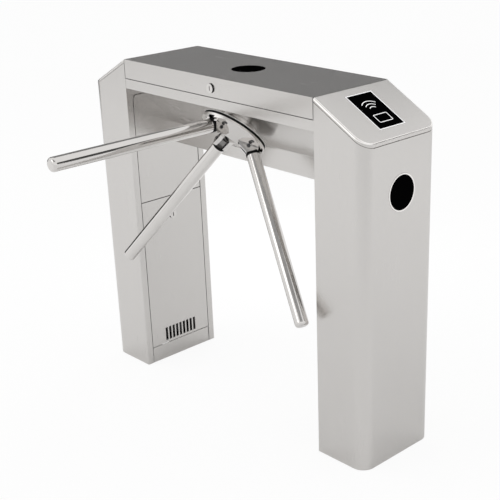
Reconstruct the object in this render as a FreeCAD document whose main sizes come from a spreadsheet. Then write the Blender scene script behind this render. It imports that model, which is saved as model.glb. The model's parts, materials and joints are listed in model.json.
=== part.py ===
import FreeCAD, Part
import os
import Sketcher

# Bridge-type tripod turnstile: two sheet-steel legs, a beam with a hinged lid, and a
# three-armed hub that turns on an axis tilted 45 degrees forward and down.
# Frame: X along the beam, the arms reach towards -Y, Z up, origin on the floor midway
# between the legs. All lengths are millimetres.

SIZES = (
    ("overall_length", 1120, "over both legs"),
    ("overall_depth", 280, "front to back of the casing"),
    ("overall_height", 1000, "floor to lid"),
    ("leg_width", 170, "one leg, along the beam"),
    ("head_drop", 93, "fall of the sloped leg head"),
    ("corner_radius", 38, "outer upright corners of a leg"),
    ("sheet", 2, "thickness of the casing sheet"),
    ("seam", 2, "gap between neighbouring panels"),
    ("fit", 0.25, "gap of a piece that slips into another"),
    ("fold_return", 21, "inner edge of a leg shell"),
    ("cap_skirt", 10, "upright edge of a head cap"),
    ("cap_bend", 5, "bend radius of a head cap"),
    ("cap_tongue", 14, "depth of the cap's tongue inside the leg"),
    ("window_width", 96, "reader window, front to back"),
    ("window_length", 134, "reader window, down the slope"),
    ("window_start", 23.5, "top of the slope to the window"),
    ("window_thick", 3, "reader window plate"),
    ("window_lap", 6, "lip of the window under the cap"),
    ("reader_depth", 20, "reader module behind the window"),
    ("end_lens_radius", 46, "lamp lens on a leg's end"),
    ("end_lens_drop", 147, "low edge of the head's slope to the middle of that lens"),
    ("lens_thick", 4, "lamp lens plate"),
    ("lens_lap", 6, "lip of a lens behind its sheet"),
    ("ring_width", 4, "bright ring round the end lens"),
    ("ring_proud", 0.8, "ring above the sheet"),
    ("lamp_depth", 22, "lamp housing behind the end lens"),
    ("base_thick", 8, "floor plate of a leg"),
    ("anchor_radius", 7, "floor anchor hole"),
    ("anchor_inset", 32, "anchor holes from the plate's ends"),
    ("anchor_edge", 48, "anchor holes from the plate's sides"),
    ("cable_radius", 25, "cable entry in a floor plate"),
    ("plinth_height", 52, "strip under a door"),
    ("door_top", 549, "floor to the door's upper edge"),
    ("door_fold", 14, "side flanges of a door"),
    ("door_tab", 12, "tab that hooks behind the plinth"),
    ("door_tab_width", 100, "that tab, front to back"),
    ("panel_drop", 111, "lid to the top of the upper inner panel"),
    ("panel_corner", 12, "rounded top corners of that panel"),
    ("vent_count", 9, "slots in a door"),
    ("vent_pitch", 14.4, "slot to slot"),
    ("vent_width", 9, "one slot"),
    ("vent_height", 45, "one slot"),
    ("vent_rise", 8, "door's lower edge to the slots"),
    ("door_lock_drop", 62, "door's upper edge to its lock"),
    ("door_cam_length", 76, "cam of a door lock"),
    ("lid_skirt", 55, "front strip of the lid"),
    ("lid_rear", 25, "rear strip of the lid"),
    ("lid_lock_drop", 31, "lid top to its lock"),
    ("lid_cam_length", 38, "cam of the lid lock"),
    ("lock_head_radius", 13, "lock face"),
    ("lock_head_thick", 4, "lock face above the sheet"),
    ("lock_radius", 9, "lock barrel"),
    ("lock_depth", 18, "lock barrel behind its face"),
    ("lock_cam_width", 9, "cam bar"),
    ("lock_cam_thick", 3, "cam bar"),
    ("key_slot", 2.4, "width of the key slot"),
    ("key_slot_length", 12.6, "length of the key slot"),
    ("top_lens_radius", 47.5, "lamp lens in the lid"),
    ("top_lamp_depth", 28, "lamp under the lid"),
    ("rail_height", 28.8, "front rail under the lid"),
    ("rail_return", 40, "level part behind the front rail"),
    ("soffit_run", 136, "45 degree underside, along Y"),
    ("apron_height", 63, "upright part below the underside"),
    ("end_plate", 4, "plates that close the beam's ends"),
    ("end_plate_gap", 2, "end plate to the lid's strips"),
    ("beam_bolt_radius", 4, "bolts between beam and legs"),
    ("bolt_head_radius", 7, "head of such a bolt"),
    ("bolt_head_thick", 5, "head of such a bolt"),
    ("beam_bolt_rise", 25, "lower bolts above the beam's floor"),
    ("beam_cable_radius", 30, "cable hole between leg and beam"),
    ("cable_edge", 6, "that hole above the upper inner panel"),
    ("hinge_leaf", 1.5, "thickness of the lid hinge"),
    ("hinge_leaf_height", 19, "one leaf"),
    ("knuckle_radius", 4, "hinge knuckles"),
    ("hinge_pin_radius", 2, "hinge pin"),
    ("hinge_gap", 0.06, "running gap round the pin"),
    ("knuckle_gap", 0.5, "gap between knuckles"),
    ("axis_offset", 82.7, "hub axis from the top of the underside"),
    ("apex_depth", 16.3, "meeting point of the arm axes behind the underside"),
    ("shroud_radius", 56, "boss between underside and hub"),
    ("shroud_height", 20, "that boss"),
    ("hub_gap", 4, "boss to the turning hub"),
    ("hub_radius", 98, "hub"),
    ("hub_plate", 2, "back plate of the hub"),
    ("gasket_thick", 7, "gasket of the hub"),
    ("gasket_inset", 0.5, "gasket inside the hub's rim"),
    ("hub_flange", 4, "rim of the hub casting"),
    ("hub_rim", 3, "flat rim round the casting's facets"),
    ("hub_rise", 21, "height of the casting's facets"),
    ("hub_core", 12, "flat middle of the casting"),
    ("arm_face", 113, "arm root, from the meeting point"),
    ("arm_reach", 626, "arm tip, from the meeting point"),
    ("arm_radius", 19, "arm tube"),
    ("arm_wall", 2, "arm tube"),
    ("arm_tip", 9, "rounded end of an arm"),
    ("arm_tip_round", 8, "rounding of that end"),
    ("arm_plug", 15, "end cap inside the tube"),
    ("collar_length", 7, "black collar at an arm's root"),
    ("collar_lip", 0.8, "collar above the tube"),
    ("ear_half", 21.5, "half width over a pair of ears"),
    ("slot_half", 10.5, "half width between the ears"),
    ("ear_reach", 91, "radius of the ears at the rim"),
    ("ear_lift", 22, "end face of an ear, along the radius"),
    ("ear_heel_radius", 38, "inner end of an ear"),
    ("ear_heel_height", 25, "inner end of an ear above the rim"),
    ("slot_start", 29, "radius where a slot begins"),
    ("slot_floor", 3.2, "slot floor above the rim"),
    ("neck_length", 23, "flat arm neck between the ears"),
    ("neck_half", 9, "half height of that neck"),
    ("neck_gap", 2, "that neck to the ear on either side"),
    ("spigot_length", 50, "round neck inside the tube"),
    ("screw_radius", 3, "hub screws"),
    ("screw_head_radius", 5.5, "hub screws"),
    ("screw_head_thick", 4.2, "hub screws"),
    ("cross_head_thick", 1.5, "screws across the ears"),
    ("cross_place", 17, "those screws, from the arm root inwards"),
    ("cross_lift", 4, "those screws, above the arm's axis"),
    ("screw_out", 70, "rim screws, out from the axis"),
    ("screw_side", 45, "rim screws, either side of a facet's middle"),
    ("screw_seat", 1.5, "seat of a rim screw above the rim"),
    ("mech_plate", 8, "mechanism plate"),
    ("mech_length", 400, "mechanism plate, along the beam"),
    ("mech_up", 68, "mechanism plate above the axis"),
    ("mech_down", 94, "mechanism plate below the axis"),
    ("housing_radius", 38, "bearing housing"),
    ("housing_flange", 58, "flange of the bearing housing"),
    ("housing_flange_thick", 10, "that flange"),
    ("bearing_outer", 31, "bearing"),
    ("bearing_width", 16, "bearing"),
    ("bearing_recess", 1, "bearing below the housing's end"),
    ("bearing_groove", 2, "groove between the bearing's rings"),
    ("shaft_radius", 15, "main shaft"),
    ("shaft_flange", 35, "flange behind the hub"),
    ("shaft_flange_thick", 4.5, "that flange"),
    ("running_gap", 0.05, "shaft in its bearings"),
    ("wheel_gap", 2, "index wheel behind the housing"),
    ("wheel_thick", 12, "index wheel"),
    ("wheel_radius", 40, "index wheel without its lugs"),
    ("lug_radius", 62, "lugs of the index wheel"),
    ("lug_half", 8, "half width of a lug"),
    ("sensor_disc_radius", 48, "sensor disc"),
    ("sensor_disc_thick", 2, "sensor disc"),
    ("sensor_boss_radius", 20, "boss of the sensor disc"),
    ("sensor_boss_length", 12, "that boss"),
    ("sensor_disc_gap", 6, "sensor disc behind the wheel"),
    ("sensor_notch", 8, "notches in the sensor disc"),
    ("nut_radius", 21, "shaft nut"),
    ("nut_thick", 8, "shaft nut"),
    ("bridge_gap", 3, "damper bridge behind the nut"),
    ("bridge_thick", 5, "damper bridge"),
    ("pillar_radius", 6, "pillars of the bridge"),
    ("pillar_side", 44, "pillars either side of the axis"),
    ("pillar_up", 61, "pillars above and below the axis"),
    ("damper_radius", 42, "centring damper"),
    ("damper_length", 32, "centring damper"),
    ("shaft_tail", 4, "shaft behind the damper"),
    ("pawl_pivot_side", 98, "pawl pivots either side of the axis"),
    ("pawl_pivot_down", 46, "pawl pivots below the axis"),
    ("pawl_clear", 3, "pawl nose outside the lugs"),
    ("pawl_half", 9, "half width of a pawl"),
    ("pawl_nose_half", 7, "half height of a pawl nose"),
    ("pawl_thick", 10, "pawl"),
    ("pin_radius", 6, "pawl pins"),
    ("pin_shoulder", 10, "shoulder and head of a pawl pin"),
    ("pin_head", 2, "head of a pawl pin"),
    ("pawl_float", 0.4, "pawl between shoulder and head"),
    ("plunger_radius", 6, "solenoid plunger"),
    ("plunger_nose", 2.5, "tip of the plunger"),
    ("plunger_nose_length", 5, "tip of the plunger"),
    ("plunger_gap", 0.8, "plunger to pawl at rest"),
    ("plunger_length", 72, "plunger"),
    ("plunger_low", 6, "plunger axis below the hub axis"),
    ("solenoid_start", 30, "pawl's back to the solenoid"),
    ("solenoid_length", 58, "solenoid"),
    ("solenoid_half", 17, "half width of the solenoid"),
    ("fork_out", 72, "position sensor, from the axis"),
    ("fork_column", 14, "position sensor column"),
    ("fork_half", 10, "half width of the position sensor"),
    ("fork_gap", 1, "sensor prongs beside the disc"),
    ("fork_prong", 2.5, "thickness of a prong"),
    ("fork_reach", 6, "prongs over the disc's edge"),
    ("board_length", 160, "control board"),
    ("board_height", 100, "control board"),
    ("board_thick", 1.6, "control board"),
    ("board_standoff", 8, "control board from the back panel"),
    ("board_place", 90, "control board from the middle"),
    ("board_rise", 70, "control board above the beam's floor"),
    ("chip_height", 12, "blocks on the control board"),
    ("supply_length", 160, "power supply"),
    ("supply_width", 90, "power supply"),
    ("supply_height", 38, "power supply"),
    ("supply_place", 90, "power supply from the middle"),
)

HALF_TURN = 0.5 ** 0.5
SIDES = ((-1, "left"), (1, "right"))
ARM_ANGLES = (("front", 0), ("right", 120), ("left", -120))
X_AXIS = FreeCAD.Vector(1, 0, 0)
Y_AXIS = FreeCAD.Vector(0, 1, 0)
Z_AXIS = FreeCAD.Vector(0, 0, 1)

doc = FreeCAD.newDocument("TripodTurnstile")
sheet_object = doc.addObject("Spreadsheet::Sheet", "Sizes")
for row, (alias, number, meaning) in enumerate(SIZES, 1):
    sheet_object.set("A%d" % row, str(number))
    sheet_object.setAlias("A%d" % row, alias)
    sheet_object.set("B%d" % row, meaning)
doc.recompute()


class Size:
    """A length with its spreadsheet formula and its present value."""

    def __init__(self, formula, value):
        self.formula = formula
        self.value = float(value)

    def joined(self, sign, other, value):
        return Size("(%s %s %s)" % (self.formula, sign, other.formula), value)

    def __add__(self, other):
        other = as_size(other)
        return self.joined("+", other, self.value + other.value)

    def __sub__(self, other):
        other = as_size(other)
        return self.joined("-", other, self.value - other.value)

    def __mul__(self, other):
        other = as_size(other)
        return self.joined("*", other, self.value * other.value)

    def __truediv__(self, other):
        other = as_size(other)
        return self.joined("/", other, self.value / other.value)

    def __radd__(self, other):
        return as_size(other) + self

    def __rsub__(self, other):
        return as_size(other) - self

    def __rmul__(self, other):
        return as_size(other) * self

    def __neg__(self):
        return as_size(0) - self


def as_size(number):
    if isinstance(number, Size):
        return number
    return Size("(%.12g)" % number, number)


def root_of(size):
    return Size("sqrt(%s)" % size.formula, size.value ** 0.5)


class Sheet:
    """Gives each driving dimension by its name."""

    def __getattr__(self, alias):
        return Size("Sizes.%s" % alias, sheet_object.get(alias))


D = Sheet()
NODES = []


def node(piece, label):
    piece.Label = label
    NODES.append(piece)
    return piece


# Placing and plain solids

def bind(piece, **sizes):
    for name, size in sizes.items():
        piece.setExpression(name, as_size(size).formula)
    return piece


def place(piece, x, y, z, turn=None):
    sizes = [as_size(size) for size in (x, y, z)]
    base = FreeCAD.Vector(*[size.value for size in sizes])
    piece.Placement = FreeCAD.Placement(base, turn or FreeCAD.Rotation())
    for axis, size in zip("xyz", sizes):
        piece.setExpression("Placement.Base." + axis, size.formula)
    return piece


def box(name, low, high):
    """Block between two corners."""
    block = doc.addObject("Part::Box", name)
    spans = [as_size(b) - a for a, b in zip(low, high)]
    bind(block, Length=spans[0], Width=spans[1], Height=spans[2])
    return place(block, *low)


def rod(name, base, radius, length, turn=None):
    """Cylinder that starts at base and runs along its turned Z axis."""
    cylinder = doc.addObject("Part::Cylinder", name)
    bind(cylinder, Radius=radius, Height=length)
    return place(cylinder, base[0], base[1], base[2], turn)


def fuse(name, *pieces):
    union = doc.addObject("Part::MultiFuse", name)
    union.Shapes = list(pieces)
    return union


def cut(name, base, *tools):
    tool = tools[0]
    if len(tools) > 1:
        tool = fuse(name + "_tools", *tools)
    result = doc.addObject("Part::Cut", name)
    result.Base = base
    result.Tool = tool
    return result


def group(name, *pieces):
    compound = doc.addObject("Part::Compound", name)
    compound.Links = list(pieces)
    return compound


# Sketched bodies

def new_body(name):
    return doc.addObject("PartDesign::Body", name)


def new_sketch(body, name, role, offset=None):
    sketch = body.newObject("Sketcher::SketchObject", name)
    plane = [feature for feature in body.Origin.OriginFeatures if feature.Role == role][0]
    sketch.AttachmentSupport = [(plane, "")]
    sketch.MapMode = "FlatFace"
    if offset is not None:
        sketch.setExpression("AttachmentOffset.Base.z", as_size(offset).formula)
    return sketch


def hold(sketch, kind, size, *where):
    index = sketch.addConstraint(Sketcher.Constraint(kind, *where, size.value))
    sketch.setExpression("Constraints[%d]" % index, size.formula)


def add_outline(sketch, points):
    """Closed outline whose corners are each held by two coordinates."""
    points = [(as_size(x), as_size(y)) for x, y in points]
    first = sketch.GeometryCount
    corners = [FreeCAD.Vector(x.value, y.value, 0) for x, y in points]
    count = len(corners)
    for i in range(count):
        sketch.addGeometry(Part.LineSegment(corners[i], corners[(i + 1) % count]))
    for i in range(count):
        following = first + (i + 1) % count
        sketch.addConstraint(Sketcher.Constraint("Coincident", first + i, 2, following, 1))
    for i, (x, y) in enumerate(points):
        hold(sketch, "DistanceX", x, -1, 1, first + i, 1)
        hold(sketch, "DistanceY", y, -1, 1, first + i, 1)


def add_circle(sketch, x, y, radius):
    x, y, radius = as_size(x), as_size(y), as_size(radius)
    middle = FreeCAD.Vector(x.value, y.value, 0)
    index = sketch.addGeometry(Part.Circle(middle, Z_AXIS, radius.value))
    hold(sketch, "Radius", radius, index)
    hold(sketch, "DistanceX", x, -1, 1, index, 3)
    hold(sketch, "DistanceY", y, -1, 1, index, 3)


def outline(body, name, role, points, offset=None):
    sketch = new_sketch(body, name, role, offset)
    add_outline(sketch, points)
    return sketch


def rectangle(body, name, role, x0, y0, x1, y1):
    return outline(body, name, role, [(x0, y0), (x1, y0), (x1, y1), (x0, y1)])


def circles(body, name, role, places, radius, offset=None):
    sketch = new_sketch(body, name, role, offset)
    for x, y in places:
        add_circle(sketch, x, y, radius)
    return sketch


def pad(body, sketch, length, both_ways=False, backwards=False):
    feature = body.newObject("PartDesign::Pad", sketch.Name + "_pad")
    feature.Profile = sketch
    feature.Midplane = both_ways
    feature.Reversed = backwards
    bind(feature, Length=length)
    return feature


def pocket(body, sketch, length=None, both_ways=True, backwards=False):
    """Cut of a given length, or right through; it has to take material away."""
    doc.recompute()
    before = body.Shape.Volume
    feature = body.newObject("PartDesign::Pocket", sketch.Name + "_cut")
    feature.Profile = sketch
    feature.Midplane = both_ways
    feature.Reversed = backwards
    if length is None:
        feature.Type = "ThroughAll"
    else:
        bind(feature, Length=length)
    doc.recompute()
    if not body.Shape.Volume < before:
        raise RuntimeError("%s cuts nothing" % sketch.Name)
    return feature


def round_edges(body, name, chosen, radius):
    """Fillet of the edges of the body's last shape that chosen() picks."""
    doc.recompute()
    base = body.Tip
    names = ["Edge%d" % (i + 1) for i, edge in enumerate(base.Shape.Edges) if chosen(edge)]
    feature = body.newObject("PartDesign::Fillet", name)
    feature.Base = (base, names)
    bind(feature, Radius=radius)
    return feature


def polar(body, name, features, count):
    """Copies of features round the body's Z axis."""
    feature = body.newObject("PartDesign::PolarPattern", name)
    feature.Originals = features
    feature.Axis = ([f for f in body.Origin.OriginFeatures if f.Role == "Z_Axis"][0], [""])
    feature.Angle = 360
    feature.Occurrences = count
    body.Tip = feature
    return feature


def upright_at(x):
    """Picks upright edges at this distance from the YZ plane."""
    def chosen(edge):
        bounds = edge.BoundBox
        straight = bounds.XLength < 1e-6 and bounds.YLength < 1e-6
        return straight and abs(bounds.XMin - x.value) < 1e-4
    return chosen


def crosswise_at(z):
    """Picks edges along X at this height."""
    def chosen(edge):
        bounds = edge.BoundBox
        straight = bounds.YLength < 1e-6 and bounds.ZLength < 1e-6
        return straight and abs(bounds.ZMax - z.value) < 1e-4
    return chosen


# Places that several pieces share

half_length = D.overall_length / 2
half_depth = D.overall_depth / 2
inner_x = half_length - D.leg_width
inside_y = half_depth - D.sheet
top_z = D.overall_height
lid_bottom = top_z - D.lid_skirt
lid_rear_bottom = top_z - D.lid_rear
rail_top = lid_bottom - D.seam
rail_bottom = rail_top - D.rail_height
slope_top_y = D.rail_return - half_depth
apron_y = slope_top_y + D.soffit_run
apron_top = rail_bottom - D.soffit_run
beam_bottom = apron_top - D.apron_height
beam_floor = beam_bottom + D.sheet
slant = D.sheet * (2 ** 0.5 - 1)
panel_half = half_depth - D.fold_return - D.seam
door_bottom = D.plinth_height + D.seam
door_lock_z = D.door_top - D.door_lock_drop
panel_top = top_z - D.panel_drop
end_lens_z = top_z - D.head_drop - D.end_lens_drop
slope_length = root_of(D.leg_width * D.leg_width + D.head_drop * D.head_drop)
slope_cos = D.leg_width / slope_length
slope_sin = D.head_drop / slope_length
lens_hole = D.end_lens_radius + D.ring_width + D.fit
beam_bolt_y = half_depth - D.fold_return / 2
beam_bolt_low = beam_floor + D.beam_bolt_rise
beam_bolt_high = rail_top - D.rail_height / 2
BEAM_BOLTS = ((beam_bolt_y, beam_bolt_low), (beam_bolt_y, beam_bolt_high), (-beam_bolt_y, beam_bolt_high))
bolt_hole = D.beam_bolt_radius + D.fit
CABLE_PASSAGE = ((apron_y + inside_y) / 2, panel_top + D.cable_edge + D.beam_cable_radius)


def slope_point(side, along, out):
    """Point of the XZ plane, measured down a leg head's slope and out of it."""
    x = inner_x + along * slope_cos + out * slope_sin
    z = top_z - along * slope_sin + out * slope_cos
    return side * x, z


def slope_band(side, from_x, to_x, upper, lower):
    """Outline in the XZ plane between two depths straight below the slope."""
    def fall(x):
        return (x - inner_x) * D.head_drop / D.leg_width
    return [
        (side * from_x, top_z - fall(from_x) - upper),
        (side * to_x, top_z - fall(to_x) - upper),
        (side * to_x, top_z - fall(to_x) - lower),
        (side * from_x, top_z - fall(from_x) - lower),
    ]


# Legs

def rounded_tower(name, side, near, far, half_width, height, radius):
    """Upright block with its two outer corners rounded."""
    body = new_body(name)
    foot = rectangle(body, name + "_foot", "XY_Plane", side * near, -half_width, side * far, half_width)
    pad(body, foot, height)
    round_edges(body, name + "_corners", upright_at(side * far), radius)
    return body


def leg_shell(side, label):
    tower = rounded_tower(label + "_tower", side, inner_x, half_length, half_depth, top_z, D.corner_radius)
    mouth_y = half_depth - D.fold_return
    mouth_top = panel_top + D.seam
    mouth = rectangle(tower, label + "_mouth", "YZ_Plane", -mouth_y, 0, mouth_y, mouth_top)
    pocket(tower, mouth, 2 * (inner_x + D.sheet))
    round_edges(tower, label + "_mouth_corners", crosswise_at(mouth_top), D.panel_corner + D.seam)
    head = slope_band(side, inner_x, half_length, -D.head_drop, D.cap_skirt + D.seam)
    pocket(tower, outline(tower, label + "_head", "XZ_Plane", head))
    lens = circles(tower, label + "_lens", "YZ_Plane", [(0, end_lens_z)], lens_hole)
    pocket(tower, lens)
    bolts = circles(tower, label + "_bolts", "YZ_Plane", BEAM_BOLTS, bolt_hole)
    pocket(tower, bolts, 2 * (inner_x + 2 * D.sheet))
    cable = circles(tower, label + "_cable", "YZ_Plane", [CABLE_PASSAGE], D.beam_cable_radius)
    pocket(tower, cable, 2 * (inner_x + 2 * D.sheet))
    core = rounded_tower(label + "_core", side, inner_x + D.sheet, half_length - D.sheet, inside_y,
                         top_z, D.corner_radius - D.sheet)
    return node(cut(label + "_cut", tower, core), label)


def slope_slab(name, side, span, depths, half_width, radius):
    """Slab under the slope between two depths, with its two outer corners rounded in plan."""
    body = rounded_tower(name, side, span[0], span[1], half_width, top_z, radius)
    above = slope_band(side, span[0], span[1], -top_z, depths[0])
    pocket(body, outline(body, name + "_above", "XZ_Plane", above))
    below = slope_band(side, span[0], span[1], depths[1], top_z + depths[1])
    pocket(body, outline(body, name + "_below", "XZ_Plane", below))
    return body


def head_cap(side, label):
    rim = slope_slab(label + "_rim", side, (inner_x, half_length), (0, D.cap_skirt),
                     half_depth, D.corner_radius)
    inner = inner_x.value
    fall = D.head_drop.value / D.leg_width.value
    lid_height = top_z.value

    def on_top(edge):
        ends = [vertex.Point for vertex in edge.Vertexes]
        on_slope = all(abs(lid_height - (side * p.x - inner) * fall - p.z) < 1e-3 for p in ends)
        return on_slope and not all(abs(side * p.x - inner) < 1e-3 for p in ends)

    round_edges(rim, label + "_bend", on_top, D.cap_bend)
    step = D.sheet + D.fit
    tongue_end = D.cap_skirt + D.cap_tongue
    tongue = slope_slab(label + "_tongue", side, (inner_x + step, half_length - step),
                        (D.cap_skirt - D.sheet, tongue_end), half_depth - step, D.corner_radius - step)
    wall = step + D.sheet
    hollow = slope_slab(label + "_hollow", side, (inner_x + wall, half_length - wall),
                        (D.sheet / slope_cos, tongue_end + D.sheet),
                        half_depth - wall, D.corner_radius - wall)
    window = new_body(label + "_window")
    span = (D.window_start - D.fit, D.window_start + D.window_length + D.fit)
    slope_block(window, label + "_opening", side, span, (D.sheet, -2 * D.sheet), D.window_width + 2 * D.fit)
    return node(cut(label + "_cut", fuse(label + "_solid", rim, tongue), hollow, window), label)


def slope_block(body, name, side, span, depths, width):
    """Block set square to the slope, centred on the XZ plane."""
    corners = [slope_point(side, span[0], depths[0]), slope_point(side, span[1], depths[0]),
               slope_point(side, span[1], depths[1]), slope_point(side, span[0], depths[1])]
    return pad(body, outline(body, name, "XZ_Plane", corners), width, True)


def reader_window(side, name):
    body = new_body(name)
    last = D.window_start + D.window_length
    slope_block(body, name + "_pane", side, (D.window_start, last),
                (-D.fit, -D.window_thick), D.window_width)
    slope_block(body, name + "_lip", side, (D.window_start - D.window_lap, last + D.window_lap),
                (-D.sheet, -D.window_thick), D.window_width + 2 * D.window_lap)
    return body


def reader_module(side, name):
    body = new_body(name)
    last = D.window_start + D.window_length
    slope_block(body, name + "_block", side, (D.window_start, last),
                (-D.window_thick, -D.window_thick - D.reader_depth), D.window_width)
    return body


def turned_to_side(side):
    """Turn that points a piece's own Z axis along X, outwards on that side."""
    return FreeCAD.Rotation(Y_AXIS, 90 * side)


def end_lens(side, name):
    lens_x = half_length - D.sheet
    out = turned_to_side(side)
    face = rod(name + "_face", (0, 0, -D.lens_thick), D.end_lens_radius, D.lens_thick + D.sheet - D.fit)
    lip_radius = D.end_lens_radius + D.ring_width + D.lens_lap
    lip = rod(name + "_lip", (0, 0, -D.lens_thick), lip_radius, D.lens_thick)
    return place(fuse(name, face, lip), side * lens_x, 0, end_lens_z, out)


def end_ring(side, name):
    start = half_length - D.sheet
    out = turned_to_side(side)
    length = D.sheet + D.ring_proud
    outer = rod(name + "_outer", (0, 0, 0), D.end_lens_radius + D.ring_width, length)
    inner = rod(name + "_inner", (0, 0, 0), D.end_lens_radius + D.fit, length)
    return place(cut(name, outer, inner), side * start, 0, end_lens_z, out)


def lamp_housing(side, name):
    back = half_length - D.sheet - D.lens_thick - D.lamp_depth
    out = turned_to_side(side)
    outer = rod(name + "_outer", (0, 0, 0), D.end_lens_radius, D.lamp_depth)
    inner = rod(name + "_inner", (0, 0, D.sheet), D.end_lens_radius - D.sheet, D.lamp_depth)
    return place(cut(name, outer, inner), side * back, 0, end_lens_z, out)


def base_plate(side, label):
    body = new_body(label)
    near, far = inner_x + D.sheet, half_length - D.sheet
    plate = rectangle(body, label + "_plate", "XY_Plane", side * near, -inside_y, side * far, inside_y)
    pad(body, plate, D.base_thick)
    round_edges(body, label + "_corners", upright_at(side * far), D.corner_radius - D.sheet)
    anchor_y = inside_y - D.anchor_edge
    rows = (near + D.anchor_inset, far - D.anchor_inset)
    places = [(side * x, y) for x in rows for y in (-anchor_y, anchor_y)]
    pocket(body, circles(body, label + "_anchors", "XY_Plane", places, D.anchor_radius))
    middle = (near + far) / 2
    pocket(body, circles(body, label + "_cable", "XY_Plane", [(side * middle, 0)], D.cable_radius))
    return node(body, label)


def upper_panel(side, label):
    body = new_body(label)
    face = rectangle(body, label + "_face", "YZ_Plane",
                     -panel_half, D.door_top + D.seam, panel_half, panel_top)
    pad(body, face, D.sheet, backwards=side < 0)
    round_edges(body, label + "_corners", crosswise_at(panel_top), D.panel_corner)
    place(body, side * inner_x, 0, 0)
    return node(body, label)


def plinth(side, name):
    near, far = inner_x, inner_x + D.sheet
    low, high = (near, far) if side > 0 else (-far, -near)
    return box(name, (low, -panel_half, 0), (high, panel_half, D.plinth_height))


def door(side, label):
    body = new_body(label)
    inwards_left = side < 0
    face = rectangle(body, label + "_face", "YZ_Plane", -panel_half, door_bottom, panel_half, D.door_top)
    pad(body, face, D.sheet, backwards=inwards_left)
    folds = new_sketch(body, label + "_folds", "YZ_Plane")
    for edge in (-1, 1):
        inner = edge * (panel_half - D.sheet)
        outer = edge * panel_half
        add_outline(folds, [(inner, door_bottom), (outer, door_bottom),
                            (outer, D.door_top), (inner, D.door_top)])
    pad(body, folds, D.door_fold, backwards=inwards_left)
    back = D.sheet + D.fit
    tab = [(0, door_bottom), (side * back, door_bottom), (side * back, door_bottom - D.door_tab),
           (side * (back + D.sheet), door_bottom - D.door_tab),
           (side * (back + D.sheet), door_bottom + D.sheet), (0, door_bottom + D.sheet)]
    pad(body, outline(body, label + "_tab", "XZ_Plane", tab), D.door_tab_width, True)
    vent_y = D.vent_pitch * (D.vent_count - 1) / 2
    vent_z = door_bottom + D.vent_rise
    vent = rectangle(body, label + "_vent", "YZ_Plane",
                     -vent_y - D.vent_width / 2, vent_z, -vent_y + D.vent_width / 2, vent_z + D.vent_height)
    slot = pocket(body, vent, 3 * D.sheet)
    row_of_vents = body.newObject("PartDesign::LinearPattern", label + "_vents")
    row_of_vents.Originals = [slot]
    row_of_vents.Direction = ([f for f in body.Origin.OriginFeatures if f.Role == "Y_Axis"][0], [""])
    bind(row_of_vents, Length=2 * vent_y, Occurrences=D.vent_count)
    body.Tip = row_of_vents
    lock_hole = circles(body, label + "_lock_hole", "YZ_Plane", [(0, door_lock_z)], D.lock_radius + D.fit)
    pocket(body, lock_hole, 3 * D.sheet)
    place(body, side * inner_x, 0, 0)
    return node(body, label)


def key_lock(label, cam_length, cam_along_x):
    """Key lock along its own Z axis: face above the sheet, barrel and cam behind it."""
    face = rod(label + "_face", (0, 0, 0), D.lock_head_radius, D.lock_head_thick)
    barrel = rod(label + "_barrel", (0, 0, -D.lock_depth), D.lock_radius, D.lock_depth)
    half = D.lock_cam_width / 2
    low, high = -D.lock_depth, D.lock_cam_thick - D.lock_depth
    if cam_along_x:
        cam = box(label + "_cam", (0, -half, low), (cam_length, half, high))
    else:
        cam = box(label + "_cam", (-half, 0, low), (half, cam_length, high))
    slot_half = D.key_slot / 2
    reach = D.key_slot_length / 2
    if cam_along_x:
        slot = box(label + "_slot", (-slot_half, -reach, 0), (slot_half, reach, 2 * D.lock_head_thick))
    else:
        slot = box(label + "_slot", (-reach, -slot_half, 0), (reach, slot_half, 2 * D.lock_head_thick))
    return node(cut(label + "_lock", fuse(label + "_solid", face, barrel, cam), slot), label)


# Beam

def beam_profile():
    """Folded sheet of the beam, from the front rail to the back, in the YZ plane."""
    sheet = D.sheet
    outside = [(-half_depth, rail_top), (-half_depth, rail_bottom), (slope_top_y, rail_bottom),
               (apron_y, apron_top), (apron_y, beam_bottom), (inside_y, beam_bottom)]
    inside = [(inside_y, beam_floor), (apron_y + sheet, beam_floor), (apron_y + sheet, apron_top + slant),
              (slope_top_y + slant, rail_bottom + sheet), (-inside_y, rail_bottom + sheet),
              (-inside_y, rail_top)]
    return outside, inside


def beam_tray():
    outside, inside = beam_profile()
    body = new_body("beam_tray_fold")
    pad(body, outline(body, "beam_tray_profile", "YZ_Plane", outside + inside), 2 * inner_x, True)
    hole = rod("beam_tray_hole", (0, 0, 0), D.housing_radius + D.fit, 4 * D.sheet)
    on_hub(hole, 0, 0, -2 * D.sheet)
    return node(cut("beam_tray_cut", body, hole), "beam_tray")


def end_plate(side, name):
    inside = beam_profile()[1]
    under_lid = top_z - D.sheet - D.fit
    gap = D.end_plate_gap
    rear_step = lid_rear_bottom - D.seam
    upper = [(-inside_y + gap, rail_top), (-inside_y + gap, under_lid),
             (inside_y - gap, under_lid), (inside_y - gap, rear_step), (inside_y, rear_step)]
    body = new_body(name)
    face = outline(body, name + "_face", "YZ_Plane", inside + upper)
    pad(body, face, D.end_plate, backwards=side > 0)
    pocket(body, circles(body, name + "_bolts", "YZ_Plane", BEAM_BOLTS, bolt_hole), 3 * D.end_plate)
    cable = circles(body, name + "_cable", "YZ_Plane", [CABLE_PASSAGE], D.beam_cable_radius)
    pocket(body, cable, 3 * D.end_plate)
    return place(body, side * inner_x, 0, 0)


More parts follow.
